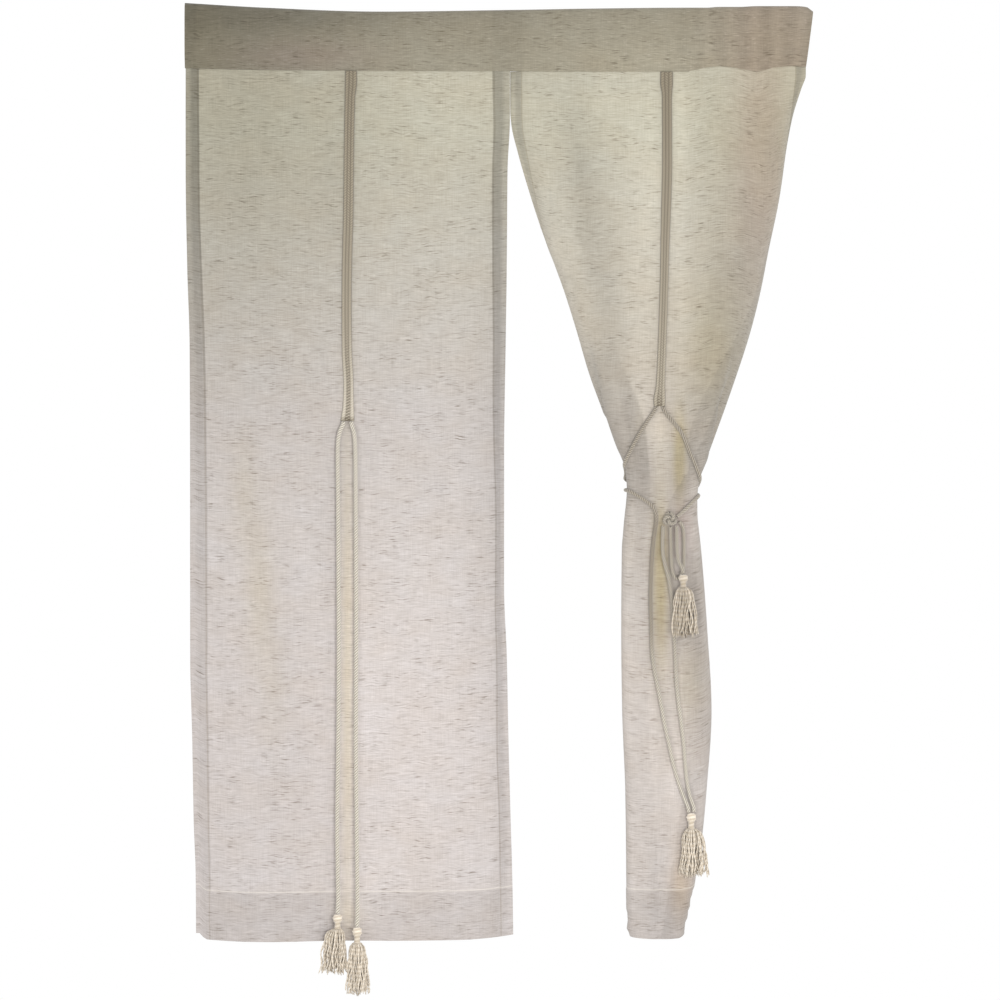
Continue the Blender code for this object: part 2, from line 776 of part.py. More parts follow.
def buildKnot(group, material):
    # A three-lobed knot whose lobes point up and to either side below
    across, depth, drop, ringRadius, tubeSpread, thickness = [value * MM for value in KNOT]
    path = []
    for k in range(KNOT_STEPS):
        turn = 2 * math.pi * k / KNOT_STEPS
        reach = ringRadius + tubeSpread * math.cos(3 * turn)
        angle = 2 * turn + math.pi / 2
        x = across + reach * math.cos(angle)
        z = -drop + reach * math.sin(angle)
        path.append((x, depth + tubeSpread * math.sin(3 * turn), z))
    return addTube("knot", path, thickness / 2, group, material, closed=True)


def strandRings(number, row):
    # One thread of a tassel, fanned out from its root towards the skirt's edge
    name, across, depth, top, skirtTop, skirtEnd, reachLeft, reachRight = row
    angle = number * math.pi * (3 - math.sqrt(5))
    rootRadius = ROOT_RADIUS * math.sqrt((number + 0.5) / TASSEL_STRANDS)
    rootX = rootRadius * math.cos(angle)
    rootY = rootRadius * math.sin(angle)
    reachX = (reachRight if rootX > 0 else reachLeft) / ROOT_RADIUS * 0.95
    reachY = SKIRT_HALF_DEPTH / ROOT_RADIUS
    length = (skirtEnd - skirtTop) * (1 - 0.05 * (number % 3) / 2) + ROOT_SUNK
    rings = []
    for k in range(4):
        share = k / 3
        spread = share ** 0.8
        x = across + rootX * (1 + (reachX - 1) * spread)
        y = depth + rootY * (1 + (reachY - 1) * spread)
        z = -(skirtTop - ROOT_SUNK + length * share)
        thick = 0.55 + 0.5 * spread
        ring = []
        for n in range(3):
            corner = 2 * math.pi * n / 3 + angle
            ring.append(Vector((x + thick * math.cos(corner), y + thick * math.sin(corner), z)) * MM)
        rings.append(ring)
    return rings


def buildTassel(row, group, cutters, material):
    # A turned head of knob, neck and shoulder, with its threads joined in below
    name, across, depth, top, skirtTop, skirtEnd, reachLeft, reachRight = row
    tall = skirtTop - top
    profile = bmesh.new()
    corners = [profile.verts.new((r * MM, 0, -share * tall * MM)) for share, r in TASSEL_HEAD]
    for a, b in zip(corners, corners[1:]):
        profile.edges.new((a, b))
    mesh = bpy.data.meshes.new(name)
    profile.to_mesh(mesh)
    profile.free()
    head = addObject(name, mesh, group, material)
    head.location = (across * MM, depth * MM, -top * MM)
    turned = head.modifiers.new("turned", "SCREW")
    turned.steps = 12
    turned.render_steps = 12
    turned.use_merge_vertices = True
    turned.merge_threshold = 0.00005
    body = bmesh.new()
    for number in range(TASSEL_STRANDS):
        loft(body, strandRings(number, row))
    skirt = addObject(name + "_threads", meshFrom(body, name + "_threads"), cutters, material)
    skirt.hide_render = True
    skirt.display_type = "WIRE"
    union = head.modifiers.new("threads", "BOOLEAN")
    union.operation = "UNION"
    union.object = skirt
    return head


def main():
    clearScene()
    group = makeCollection("noren_curtain")
    cutters = makeCollection("threads_to_join")
    linen = makeMaterial("linen", (0.60, 0.55, 0.48), 0.92)
    headingLinen = makeMaterial("heading_linen", (0.50, 0.45, 0.37), 0.92)
    cotton = makeMaterial("cotton_cord", (0.74, 0.68, 0.57), 0.85)
    braid = makeMaterial("braid", (0.58, 0.52, 0.43), 0.85)
    yarn = makeMaterial("tassel_yarn", (0.80, 0.74, 0.62), 0.88)
    buildHeading(group, headingLinen)
    buildLeftPanel(group, linen)
    buildRightPanel(group, linen)
    buildBraid("braid_left", LEFT_BRAID, leftDepth, group, braid)
    buildBraid("braid_right", RIGHT_BRAID, rightFront, group, braid)
    for name, route in CORD_ROUTES.items():
        diameter = CORD_DIAMETER if "left" in name else TIE_DIAMETER
        addTube(name, smoothPath(route, CORD_STEP), diameter / 2, group, cotton)
    buildKnot(group, cotton)
    for row in TASSELS:
        buildTassel(row, group, cutters, yarn)


main()
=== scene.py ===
import math
import random

import bmesh
import bpy
import numpy as np
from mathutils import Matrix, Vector


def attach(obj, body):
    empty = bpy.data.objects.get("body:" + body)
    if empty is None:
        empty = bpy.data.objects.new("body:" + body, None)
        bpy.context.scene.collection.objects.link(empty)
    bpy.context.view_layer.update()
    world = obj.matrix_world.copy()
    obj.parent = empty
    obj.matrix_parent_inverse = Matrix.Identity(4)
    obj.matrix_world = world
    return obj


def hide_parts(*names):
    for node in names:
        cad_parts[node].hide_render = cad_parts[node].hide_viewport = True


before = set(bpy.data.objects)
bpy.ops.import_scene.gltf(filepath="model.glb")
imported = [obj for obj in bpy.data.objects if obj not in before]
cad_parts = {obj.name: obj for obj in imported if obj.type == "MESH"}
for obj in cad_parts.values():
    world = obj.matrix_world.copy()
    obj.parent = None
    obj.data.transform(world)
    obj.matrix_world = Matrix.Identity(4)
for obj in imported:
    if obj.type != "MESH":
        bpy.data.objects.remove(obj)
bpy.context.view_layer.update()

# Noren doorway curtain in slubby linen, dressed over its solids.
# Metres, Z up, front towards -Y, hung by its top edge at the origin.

mm = 0.001
random.seed(7)

bpy.ops.object.select_all(action="DESELECT")


# small helpers shared by the pieces

def fromHex(code):
    # sRGB hex to the linear colour that shaders take
    linear = []
    for k in (0, 2, 4):
        value = int(code[k:k + 2], 16) / 255
        linear.append(value / 12.92 if value <= 0.04045 else ((value + 0.055) / 1.055) ** 2.4)
    return (*linear, 1.0)


def addNode(tree, kind, inputs=None, **settings):
    # one node with its settings, and its sockets filled by values or by other nodes' outputs
    node = tree.nodes.new(kind)
    for name, value in settings.items():
        setattr(node, name, value)
    for name, value in (inputs or {}).items():
        socket = node.inputs[name]
        if isinstance(value, bpy.types.NodeSocket):
            tree.links.new(value, socket)
        else:
            socket.default_value = value
    return node


def startMaterial(name, roughness, sheen):
    material = bpy.data.materials.new(name)
    material.use_nodes = True
    surface = material.node_tree.nodes["Principled BSDF"]
    surface.inputs["Roughness"].default_value = roughness
    surface.inputs["Metallic"].default_value = 0.0
    surface.inputs["IOR"].default_value = 1.47
    surface.inputs["Specular IOR Level"].default_value = 0.25
    surface.inputs["Sheen Weight"].default_value = sheen
    surface.inputs["Sheen Roughness"].default_value = 0.6
    return material, material.node_tree, surface


def column(table, index):
    return np.array([row[index] for row in table], dtype=float) * mm


def smooth(at, table, index):
    # one column of a table read at the given places, on a curve that doesn't overshoot
    x = column(table, 0)
    y = column(table, index)
    steps = np.diff(x)
    slopes = np.diff(y) / steps
    tangents = np.zeros(len(x))
    tangents[0] = slopes[0]
    tangents[-1] = slopes[-1]
    for k in range(1, len(x) - 1):
        if slopes[k - 1] * slopes[k] > 0:
            before = 2 * steps[k] + steps[k - 1]
            after = steps[k] + 2 * steps[k - 1]
            tangents[k] = (before + after) / (before / slopes[k - 1] + after / slopes[k])
    at = np.clip(np.asarray(at, dtype=float), x[0], x[-1])
    k = np.clip(np.searchsorted(x, at, side="right") - 1, 0, len(x) - 2)
    t = (at - x[k]) / steps[k]
    start = (1 + 2 * t) * (1 - t) ** 2 * y[k] + t * (1 - t) ** 2 * steps[k] * tangents[k]
    end = t ** 2 * (3 - 2 * t) * y[k + 1] + t ** 2 * (t - 1) * steps[k] * tangents[k + 1]
    return start + end


def addAttribute(mesh, name, values, kind="FLOAT"):
    layer = mesh.attributes.new(name, kind, "POINT")
    key = "vector" if kind == "FLOAT_VECTOR" else "value"
    layer.data.foreach_set(key, np.asarray(values, dtype=np.float32).ravel())


def makeObject(name, mesh, material):
    item = bpy.data.objects.new(name, mesh)
    bpy.context.collection.objects.link(item)
    mesh.materials.append(material)
    mesh.shade_smooth()
    return item


def applyModifiers(item):
    bpy.ops.object.select_all(action="DESELECT")
    item.select_set(True)
    bpy.context.view_layer.objects.active = item
    for modifier in list(item.modifiers):
        bpy.ops.object.modifier_apply(modifier=modifier.name)
    item.select_set(False)


# camera, light and floor

studio = {
    "distance": 5.0,        # camera in front of the curtain
    "across": 0.0013,
    "height": -0.6272,
    "seenWidth": 1.28,      # metres across the picture at the curtain
    "floorHeight": -2.0,
    "floorRadius": 3.0,
    "ambient": 1.0,
    "keyPower": 46,
    "keyPlace": (0.7, -2.9, -0.95),
    "keySize": 1.1,
    "fillPower": 10,
    "fillPlace": (-1.6, -3.0, -1.6),
}


def buildStudio():
    camera = bpy.data.objects.new("camera", bpy.data.cameras.new("camera"))
    bpy.context.collection.objects.link(camera)
    camera.location = (studio["across"], -studio["distance"], studio["height"])
    camera.rotation_euler = (math.radians(90), 0, 0)
    camera.data.sensor_width = 36
    camera.data.lens = 36 * studio["distance"] / studio["seenWidth"]
    bpy.context.scene.camera = camera

    bpy.ops.mesh.primitive_circle_add(
        vertices=96, radius=studio["floorRadius"], fill_type="NGON", location=(0, 0, studio["floorHeight"]))
    floor = bpy.context.active_object
    floor.name = "floor"
    bpy.ops.object.transform_apply(location=True, rotation=True, scale=True)
    material, tree, surface = startMaterial("matte_white_paint", 0.9, 0.0)
    surface.inputs["Base Color"].default_value = fromHex("f2f1ee")
    floor.data.materials.append(material)
    floor.select_set(False)

    for name, place, power, size in (("key", studio["keyPlace"], studio["keyPower"], studio["keySize"]),
                                     ("fill", studio["fillPlace"], studio["fillPower"], 2.0)):
        lamp = bpy.data.lights.new(name, "AREA")
        lamp.energy = power
        lamp.size = size
        light = bpy.data.objects.new(name, lamp)
        bpy.context.collection.objects.link(light)
        light.location = place
        light.rotation_euler = (Vector((0, 0, -0.75)) - Vector(place)).to_track_quat("-Z", "Y").to_euler()
        light.visible_camera = False

    world = bpy.data.worlds.new("white_studio")
    bpy.context.scene.world = world
    world.use_nodes = True
    tree = world.node_tree
    tree.nodes.clear()
    sky = addNode(tree, "ShaderNodeBackground", {"Color": (1, 1, 1, 1), "Strength": studio["ambient"]})
    addNode(tree, "ShaderNodeOutputWorld", {"Surface": sky.outputs[0]})
    bpy.context.scene.view_settings.view_transform = "Standard"
    bpy.context.scene.view_settings.look = "None"


buildStudio()
print("studio ready")


# cotton: cords, knot, braids and tassels share one yarn

def makeCottonCord():
    # Twisted mercerised cotton: the plies catch soft light, and fine fibres run along each ply
    material, tree, surface = startMaterial("twisted_cotton_cord", 0.78, 0.35)
    fibre = addNode(tree, "ShaderNodeAttribute", attribute_name="fibre")
    along = addNode(tree, "ShaderNodeVectorMath", {0: fibre.outputs["Vector"], 1: (1 / 0.00035, 1 / 0.004, 1.0)},
                    operation="MULTIPLY")                    # fibres 0.35 mm apart and 4 mm long
    grain = addNode(tree, "ShaderNodeTexNoise", {"Vector": along.outputs[0], "Scale": 1.0, "Detail": 3.0})
    depth = addNode(tree, "ShaderNodeAttribute", attribute_name="groove")
    clean = addNode(tree, "ShaderNodeMix", {0: grain.outputs["Fac"], 6: fromHex("c6bfb1"), 7: fromHex("e0dacf")},
                    data_type="RGBA")
    shaded = addNode(tree, "ShaderNodeMix", {0: depth.outputs["Fac"], 6: clean.outputs[2], 7: fromHex("655d4c")},
                     data_type="RGBA")                       # painted shade in the grooves between plies
    paintedShade = addNode(tree, "ShaderNodeAttribute", attribute_name="paintedShade")
    inShade = addNode(tree, "ShaderNodeMix", {0: paintedShade.outputs["Fac"], 6: shaded.outputs[2], 7: fromHex("8f8374")},
                   data_type="RGBA", blend_type="MULTIPLY")  # painted shade: darker where the tie cords hang in the gathered cloth's shade
    tree.links.new(inShade.outputs[2], surface.inputs["Base Color"])
    bump = addNode(tree, "ShaderNodeBump", {"Height": grain.outputs["Fac"], "Strength": 0.5, "Distance": 0.0004})
    tree.links.new(bump.outputs[0], surface.inputs["Normal"])
    return material


cordCotton = makeCottonCord()

cords = {
    "diameter": 0.0056,
    "tieDiameter": 0.0048,    # the gathered panel's cords are drawn thinner
    "plies": 4,
    "pitch": 0.0145,        # one full turn of a ply
    "groove": 0.24,         # depth of the grooves, of the radius
    "sides": 24,
    "step": 0.0009,
    # drop, how much painted shade darkens the tie cords there and how much the longest one, in thousandths
    "paintedShade": [(500, 640, 640), (600, 600, 620), (640, 500, 620), (664, 480, 720), (790, 380, 640), (830, 335, 400),
             (900, 165, 165), (1030, 100, 100)],
    # across, depth and drop in millimetres, from the braid or the knot to the far end
    "routes": {
        "cord_left_1": [
            (-199.0, -3.3, 526.9), (-199.6, -3.4, 531.0), (-204.4, -3.8, 543.0), (-206.2, -4.4, 565.0),
            (-205.8, -4.4, 620.0), (-205.4, -4.4, 704.0), (-204.9, -4.4, 806.0), (-205.5, -4.6, 934.0),
            (-206.8, -4.8, 1037.0), (-206.2, -5.2, 1100.0), (-205.6, -6.4, 1135.0), (-206.2, -8.4, 1155.7),
        ],
        "cord_left_2": [
            (-189.0, -3.3, 527.0), (-188.5, -3.4, 531.0), (-185.2, -3.8, 543.0), (-183.6, -4.4, 565.0),
            (-183.2, -4.4, 620.0), (-182.8, -4.4, 704.0), (-182.6, -4.4, 806.0), (-183.0, -4.6, 934.0),
            (-182.0, -4.8, 1037.0), (-181.2, -5.4, 1110.0), (-180.8, -7.6, 1150.0), (-181.2, -9.6, 1172.2),
        ],
        "cord_right_long": [
            (209.2, -32.0, 509.0), (210.2, -32.1, 513.0), (215.2, -32.1, 520.5), (222.2, -31.9, 528.5),
            (230.4, -31.4, 539.0), (236.2, -30.9, 549.5), (240.8, -30.3, 561.0), (245.4, -29.9, 572.0),
            (249.2, -29.3, 580.5), (252.2, -28.3, 588.0), (255.2, -25.8, 595.0), (256.2, -18.7, 600.0),
            (255.8, -8.5, 604.0), (255.2, 4.0, 606.5), (255.0, 16.0, 608.5), (252.8, 29.0, 610.5),
            (242.0, 36.4, 612.0), (226.0, 39.0, 613.0), (211.0, 41.0, 613.0), (196.0, 41.0, 613.0),
            (181.0, 38.0, 613.5), (166.8, 33.0, 614.0), (162.8, 21.0, 614.4), (162.8, 8.0, 614.6),
            (162.8, -6.0, 614.6), (163.2, -15.4, 615.0), (167.2, -23.2, 616.4), (173.4, -26.2, 619.8),
            (182.0, -26.4, 625.2), (189.8, -26.0, 630.4), (195.8, -26.0, 636.0), (199.6, -26.0, 643.0),
            (200.6, -26.0, 652.0), (199.2, -26.0, 664.0), (197.0, -26.0, 678.5), (195.2, -26.0, 699.0),
            (193.7, -26.0, 723.0), (193.3, -26.0, 755.0), (193.9, -26.0, 787.0), (194.8, -26.0, 819.0),
            (197.6, -26.0, 842.0), (202.2, -26.0, 865.5), (207.0, -26.0, 891.0), (211.2, -26.0, 914.0),
            (216.3, -26.0, 937.0), (221.8, -26.0, 962.5), (228.6, -26.0, 987.0), (235.0, -27.0, 1004.5),
            (240.2, -28.6, 1017.0), (241.6, -29.6, 1025.0),
        ],
        "cord_right_tie": [
            (199.4, -32.0, 509.1), (198.3, -32.1, 513.0), (192.2, -32.1, 522.0), (185.8, -31.8, 531.5),
            (179.6, -31.4, 541.5), (173.8, -30.9, 552.0), (168.4, -30.2, 562.5), (164.2, -28.4, 571.0),
            (161.1, -25.0, 577.0), (159.9, -18.2, 582.0), (161.1, -9.0, 586.5), (162.4, 2.0, 591.0),
            (162.6, 14.0, 596.0), (162.7, 27.2, 600.0), (168.0, 35.4, 603.5), (181.0, 36.0, 606.0),
            (195.0, 34.6, 607.5), (211.0, 33.6, 613.0), (227.0, 34.6, 618.0), (242.0, 35.0, 619.0),
            (252.8, 28.0, 620.0), (254.8, 14.5, 620.6), (255.0, 2.0, 621.0), (254.8, -10.5, 621.8),
            (252.6, -20.4, 624.2), (247.2, -25.4, 629.5), (241.0, -26.8, 635.5), (234.4, -27.2, 642.0),
            (226.9, -28.3, 648.6),
        ],
        "cord_second": [
            (209.0, -27.2, 660.1), (208.4, -26.0, 679.0), (208.8, -26.0, 695.0), (212.0, -26.0, 711.5),
            (216.3, -26.0, 728.0), (219.8, -26.0, 750.0), (222.2, -26.0, 781.0), (224.2, -26.0, 819.0),
            (225.8, -26.0, 857.0), (228.8, -26.0, 887.0), (232.0, -26.0, 911.0), (235.0, -26.0, 936.0),
            (237.0, -26.0, 961.0), (239.4, -26.0, 985.5), (243.2, -27.0, 1004.5), (247.4, -28.8, 1017.0),
            (248.0, -29.6, 1024.2),
        ],
        "cord_loop": [
            (229.3, -27.6, 654.9), (233.8, -26.0, 661.0), (235.4, -26.0, 673.0), (235.6, -26.0, 697.0),
            (234.6, -26.0, 714.0), (231.0, -26.0, 724.5), (227.0, -26.0, 727.5), (223.0, -26.0, 724.0),
            (220.2, -26.0, 712.0), (219.4, -26.0, 695.0), (218.8, -26.0, 678.0), (218.2, -27.8, 661.1),
        ],
        "cord_short": [
            (226.0, -29.0, 660.1), (226.4, -31.8, 675.0), (226.6, -33.2, 690.0), (228.4, -34.6, 704.0),
            (232.6, -36.0, 713.5), (234.2, -36.4, 720.7),
        ],
    },
}


def smoothPath(points, step, closed=False):
    # evenly spaced points on a smooth curve through the given ones
    points = np.array(points, dtype=float)
    if closed:
        points = np.vstack([points[-1:], points, points[:2]])
    else:
        points = np.vstack([2 * points[:1] - points[1:2], points, 2 * points[-1:] - points[-2:-1]])
    fine = []
    for a, b, c, d in zip(points, points[1:], points[2:], points[3:]):
        for t in np.arange(0, 1, 1 / 24):
            fine.append((b * 2 + (c - a) * t + (a * 2 - b * 5 + c * 4 - d) * t ** 2
                         + (b * 3 - a - c * 3 + d) * t ** 3) / 2)
    fine.append(points[-2])
    fine = np.array(fine)
    lengths = np.concatenate([[0], np.cumsum(np.linalg.norm(np.diff(fine, axis=0), axis=1))])
    count = max(3, round(lengths[-1] / step))
    at = np.linspace(0, lengths[-1], count + 1)
    return np.stack([np.interp(at, lengths, fine[:, k]) for k in range(3)], axis=1)


def carriedFrames(path, closed=False):
    # tangents and two crosswise directions that don't spin along the path
    tangents = np.gradient(path, axis=0)
    if closed:
        tangents = np.roll(path, -1, axis=0) - np.roll(path, 1, axis=0)
    tangents = tangents / np.linalg.norm(tangents, axis=1)[:, None]
    side = np.cross(tangents[0], (0.3, 1.0, 0.2))
    sides = []
    for tangent in tangents:
        side = side - tangent * np.dot(side, tangent)
        side = side / np.linalg.norm(side)
        sides.append(side)
    sides = np.array(sides)
    return tangents, sides, np.cross(tangents, sides)


def sweepRope(name, path, radius, material, closed=False, pitch=None):
    # a rope of plies twisted round each other, with its fibre direction and grooves kept as attributes
    plies = cords["plies"]
    sides = cords["sides"]
    pitch = pitch or cords["pitch"]
    tangents, across, up = carriedFrames(path, closed)
    gaps = np.linalg.norm(np.diff(path, axis=0), axis=1)
    run = np.concatenate([[0], np.cumsum(gaps)])
    if closed:
        total = run[-1] + np.linalg.norm(path[0] - path[-1])
        pitch = total / round(total / pitch)
    theta = np.arange(sides) * 2 * np.pi / sides
    lobe = np.abs(np.cos(plies * theta / 2)) ** 0.75
    reach = radius * (1 - cords["groove"] * (1 - lobe))
    turn = theta[None, :] + 2 * np.pi * run[:, None] / pitch
    rings = path[:, None, :] + reach[None, :, None] * (np.cos(turn)[:, :, None] * across[:, None, :]
                                                       + np.sin(turn)[:, :, None] * up[:, None, :])
    count = len(path)
    vertices = rings.reshape(-1, 3)
    k = np.arange(count * sides).reshape(count, sides)
    following = np.roll(k, -1, axis=1)
    if closed:
        quads = np.stack([k, following, np.roll(following, -1, axis=0), np.roll(k, -1, axis=0)], axis=-1)
    else:
        quads = np.stack([k[:-1], following[:-1], following[1:], k[1:]], axis=-1)
    faces = quads.reshape(-1, 4).tolist()
    if not closed:
        faces.append(list(reversed(k[0].tolist())))
        faces.append(k[-1].tolist())
    mesh = bpy.data.meshes.new(name)
    mesh.from_pydata(vertices.tolist(), [], faces)
    fibre = np.stack([np.broadcast_to(theta * radius, turn.shape), np.broadcast_to(run[:, None], turn.shape),
                      np.zeros(turn.shape)], axis=-1)
    addAttribute(mesh, "fibre", fibre, "FLOAT_VECTOR")
    addAttribute(mesh, "groove", np.broadcast_to((1 - lobe) ** 0.85, turn.shape))
    # painted shade on the gathered panel's cords and on the knot, read by drop
    which = 2 if "long" in name else 1
    shadeAlong = smooth(-vertices[:, 2], cords["paintedShade"], which) if path[0, 0] > 0 else np.zeros(len(vertices))
    addAttribute(mesh, "paintedShade", shadeAlong)
    return makeObject(name, mesh, material)


def buildCords():
    made = {}
    for name, route in cords["routes"].items():
        points = [(x * mm, y * mm, -drop * mm) for x, y, drop in route]
        path = smoothPath(points, cords["step"])
        thick = cords["diameter"] if "left" in name else cords["tieDiameter"]
        rope = sweepRope(name + "_rope", path, thick / 2, cordCotton)
        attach(rope, "root")
        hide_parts(name)
        made[name] = (rope, path, thick)
    return made


ropes = buildCords()
print("cords laid")


# knot where the tie cords meet in front

knot = {
    "across": 217.6, "depth": -28.4, "drop": 651.5,
    "ring": 4.9, "spread": 2.7,
    "diameter": 4.6, "points": 60,
}


def buildKnot():
    path = []
    for k in range(knot["points"]):
        turn = 2 * math.pi * k / knot["points"]
        reach = knot["ring"] + knot["spread"] * math.cos(3 * turn)
        angle = 2 * turn + math.pi / 2
        path.append(((knot["across"] + reach * math.cos(angle)) * mm,
                     (knot["depth"] + knot["spread"] * math.sin(3 * turn)) * mm,
                     (-knot["drop"] + reach * math.sin(angle)) * mm))
    path = smoothPath(path, cords["step"], closed=True)[:-1]
    rope = sweepRope("knot_rope", path, knot["diameter"] / 2 * mm, cordCotton, closed=True, pitch=0.010)
    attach(rope, "root")
    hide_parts("knot")
    return rope


knotRope = buildKnot()
print("knot tied")


# tassels: wound knob and neck over a skirt of loose yarn

tassel = {
    # node: across, depth, drop of the top, of the skirt's top and of its end, reach left and right
    "places": {
        "tassel_left_1": (-206.2, -8.6, 1156.4, 1178, 1236, 26, 13),
        "tassel_left_2": (-181.2, -9.8, 1172.9, 1196, 1262, 15, 18),
        "tassel_short": (234.2, -36.4, 722, 741, 805, 16.5, 22),
        "tassel_long": (244.7, -29.8, 1025.5, 1048, 1111, 15, 25),
    },
    # share of the head's height, radius in millimetres
    "head": [(0, 1.6), (30, 3.9), (100, 5.2), (240, 5.9), (400, 5.2), (520, 4.0), (640, 4.0), (760, 4.1),
             (880, 4.9), (1000, 5.4), (1080, 5.0), (1120, 3.6)],
    "yarns": 88,
    "root": 5.6,            # half width where the skirt leaves the neck, millimetres
    "neckShade": 0.28,
    "underShade": {"tassel_short": 0.24},      # the upper one hangs in the cloth's shade
    "yarnThick": 0.88,      # radius of one yarn, millimetres
    "yarnSteps": 14,
    "wave": 2.2,            # crimp left in the yarn, millimetres
    "skirtHalfDepth": 6.6,
}


def makeTasselYarn():
    # Soft spun cotton yarn: cream with paler high plies in painted highlight, matte and a little fuzzy
    material, tree, surface = startMaterial("spun_cotton_yarn", 0.85, 0.5)
    fibre = addNode(tree, "ShaderNodeAttribute", attribute_name="fibre")
    twist = addNode(tree, "ShaderNodeVectorMath", {0: fibre.outputs["Vector"], 1: (1.0, 1 / 0.0055, 1.0)},
                    operation="MULTIPLY")                    # two plies, a turn every 5.5 mm
    parts = addNode(tree, "ShaderNodeSeparateXYZ", {0: twist.outputs[0]})
    phase = addNode(tree, "ShaderNodeMath", {0: parts.outputs[0], 1: parts.outputs[1]}, operation="ADD")
    wave = addNode(tree, "ShaderNodeMath", {0: phase.outputs[0], 1: 6.2832}, operation="MULTIPLY")
    ply = addNode(tree, "ShaderNodeMath", {0: wave.outputs[0]}, operation="SINE")
    level = addNode(tree, "ShaderNodeMapRange", {"Value": ply.outputs[0], "From Min": -1.0, "From Max": 1.0})
    shade = addNode(tree, "ShaderNodeAttribute", attribute_name="groove")
    tone = addNode(tree, "ShaderNodeMix", {0: level.outputs[0], 6: fromHex("c0b3a0"), 7: fromHex("dfd4c4")},
                   data_type="RGBA")
    deep = addNode(tree, "ShaderNodeMix", {0: shade.outputs["Fac"], 6: tone.outputs[2], 7: fromHex("70614a")},
                   data_type="RGBA")                         # painted shade on yarns deep in the skirt, the neck and under the ball
    tree.links.new(deep.outputs[2], surface.inputs["Base Color"])
    bump = addNode(tree, "ShaderNodeBump", {"Height": level.outputs[0], "Strength": 0.6, "Distance": 0.0004})
    tree.links.new(bump.outputs[0], surface.inputs["Normal"])
    return material


yarn = makeTasselYarn()


def headRings(place):
    across, depth, top, skirtTop = place[:4]
    tall = skirtTop - top
    rings = []
    for k in range(57):
        share = 1.12 * k / 56
        radius = float(smooth(share, tassel["head"], 1)) / mm
        ring = []
        for n in range(32):
            angle = 2 * math.pi * n / 32
            if share < 0.46:     # plaited ball
                wound = 1.1 * abs(math.sin(2.5 * angle + share * 14)) * abs(math.sin(2.5 * angle - share * 14))
            else:                # thread wound round the neck
                wound = 0.32 * abs(math.sin(angle / 2 + share * tall / 1.5 * math.pi))
            r = radius - 0.45 + wound
            ring.append((across + r * math.cos(angle), depth + r * math.sin(angle), -(top + share * tall)))
        rings.append(ring)
    return rings


def yarnRings(number, place):
    across, depth, top, skirtTop, skirtEnd, reachLeft, reachRight = place
    golden = number * math.pi * (3 - math.sqrt(5))
    out = math.sqrt((number + 0.5) / tassel["yarns"])
    rootX = tassel["root"] * out * math.cos(golden)
    rootY = tassel["root"] * out * math.sin(golden)
    reach = (reachRight if rootX > 0 else reachLeft) * random.uniform(0.82, 1.0)
    endX = rootX / tassel["root"] * reach + random.uniform(-2.0, 2.0)
    endY = rootY / tassel["root"] * tassel["skirtHalfDepth"] + random.uniform(-0.6, 0.6)
    length = (skirtEnd - skirtTop) * random.uniform(0.84, 1.0) * (1 - 0.06 * out) + 3
    phase = random.uniform(0, 6.28)
    beat = random.uniform(0.8, 2.4)
    crimp = tassel["wave"] * random.uniform(0.4, 1.2)
    centre = []
    for k in range(tassel["yarnSteps"] + 1):
        share = k / tassel["yarnSteps"]
        spread = share ** 0.36 * (1.06 - 0.06 * share)
        sway = crimp * share ** 0.5 * math.sin(phase + share * 6.28 * beat)
        x = across + rootX + (endX - rootX) * spread + sway
        y = depth + rootY + (endY - rootY) * spread + 0.35 * crimp * math.cos(phase + share * 6.28 * beat)
        centre.append((x, y, -(skirtTop - 3 + length * share)))
    rings = []
    thick = tassel["yarnThick"] * random.uniform(0.8, 1.1)
    for k, (x, y, z) in enumerate(centre):
        share = k / tassel["yarnSteps"]
        r = thick * (0.75 if share < 0.1 else 1.0) * (0.6 if k == tassel["yarnSteps"] else 1.0)
        rings.append([(x + r * math.cos(n * math.pi / 3), y + r * math.sin(n * math.pi / 3), z) for n in range(6)])
    return rings, 0.55 * (1 - out) + random.choice((0, 0, 0.12, 0.3))


def buildTassel(node):
    place = tassel["places"][node]
    vertices = []
    faces = []
    fibre = []
    groove = []
    under = tassel["underShade"].get(node, 0.0)
    parts = [(headRings(place), 0.04)]
    parts = parts + [yarnRings(number, place) for number in range(tassel["yarns"])]
    for rings, deep in parts:
        first = len(vertices)
        count = len(rings[0])
        run = 0.0
        for k, ring in enumerate(rings):
            if k:
                run += math.dist(ring[0], rings[k - 1][0]) * mm
            for n, corner in enumerate(ring):
                vertices.append([value * mm for value in corner])
                fibre.append((n / count, run, 0))
                # painted shade: deeper yarns, the ball's lower half and the neck, more on a tassel in the cloth's shade
                shade = deep
                if first == 0:
                    shade = tassel["neckShade"] if k > 23 else max(0.0, 0.022 * (k - 10))
                groove.append(min(1.0, shade + under))
        for k in range(len(rings) - 1):
            for n in range(count):
                a = first + k * count + n
                b = first + k * count + (n + 1) % count
                faces.append((a, a + count, b + count, b))
        faces.append([first + n for n in range(count)])
        faces.append([first + (len(rings) - 1) * count + n for n in reversed(range(count))])
    mesh = bpy.data.meshes.new(node)
    mesh.from_pydata(vertices, [], faces)
    addAttribute(mesh, "fibre", fibre, "FLOAT_VECTOR")
    addAttribute(mesh, "groove", groove)
    piece = makeObject(node + "_yarn", mesh, yarn)
    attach(piece, "root")
    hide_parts(node)
    return piece


tassels = {node: buildTassel(node) for node in tassel["places"]}
print("tassels made")


# linen

linen = {
    "thick": 0.0013,
    "hemThick": 0.0023,
    "sideHem": 0.016,
    "bottomHem": 0.064,
    "gap": 0.0004,          # left between pieces that touch
    "seamGap": 0.00005,     # left under the heading's sewn edge
    "weftPitch": 0.0013,    # real threads lie 0.6 mm apart, drawn coarser so that they show
    "warpPitch": 0.0012,
    "streak": 0.022,        # how far one thick stretch of weft runs
    "slub": 0.014,
    "drift": 0.0065,
    "turnIn": 0.0075,       # how far from its edge a hem has one layer less
}


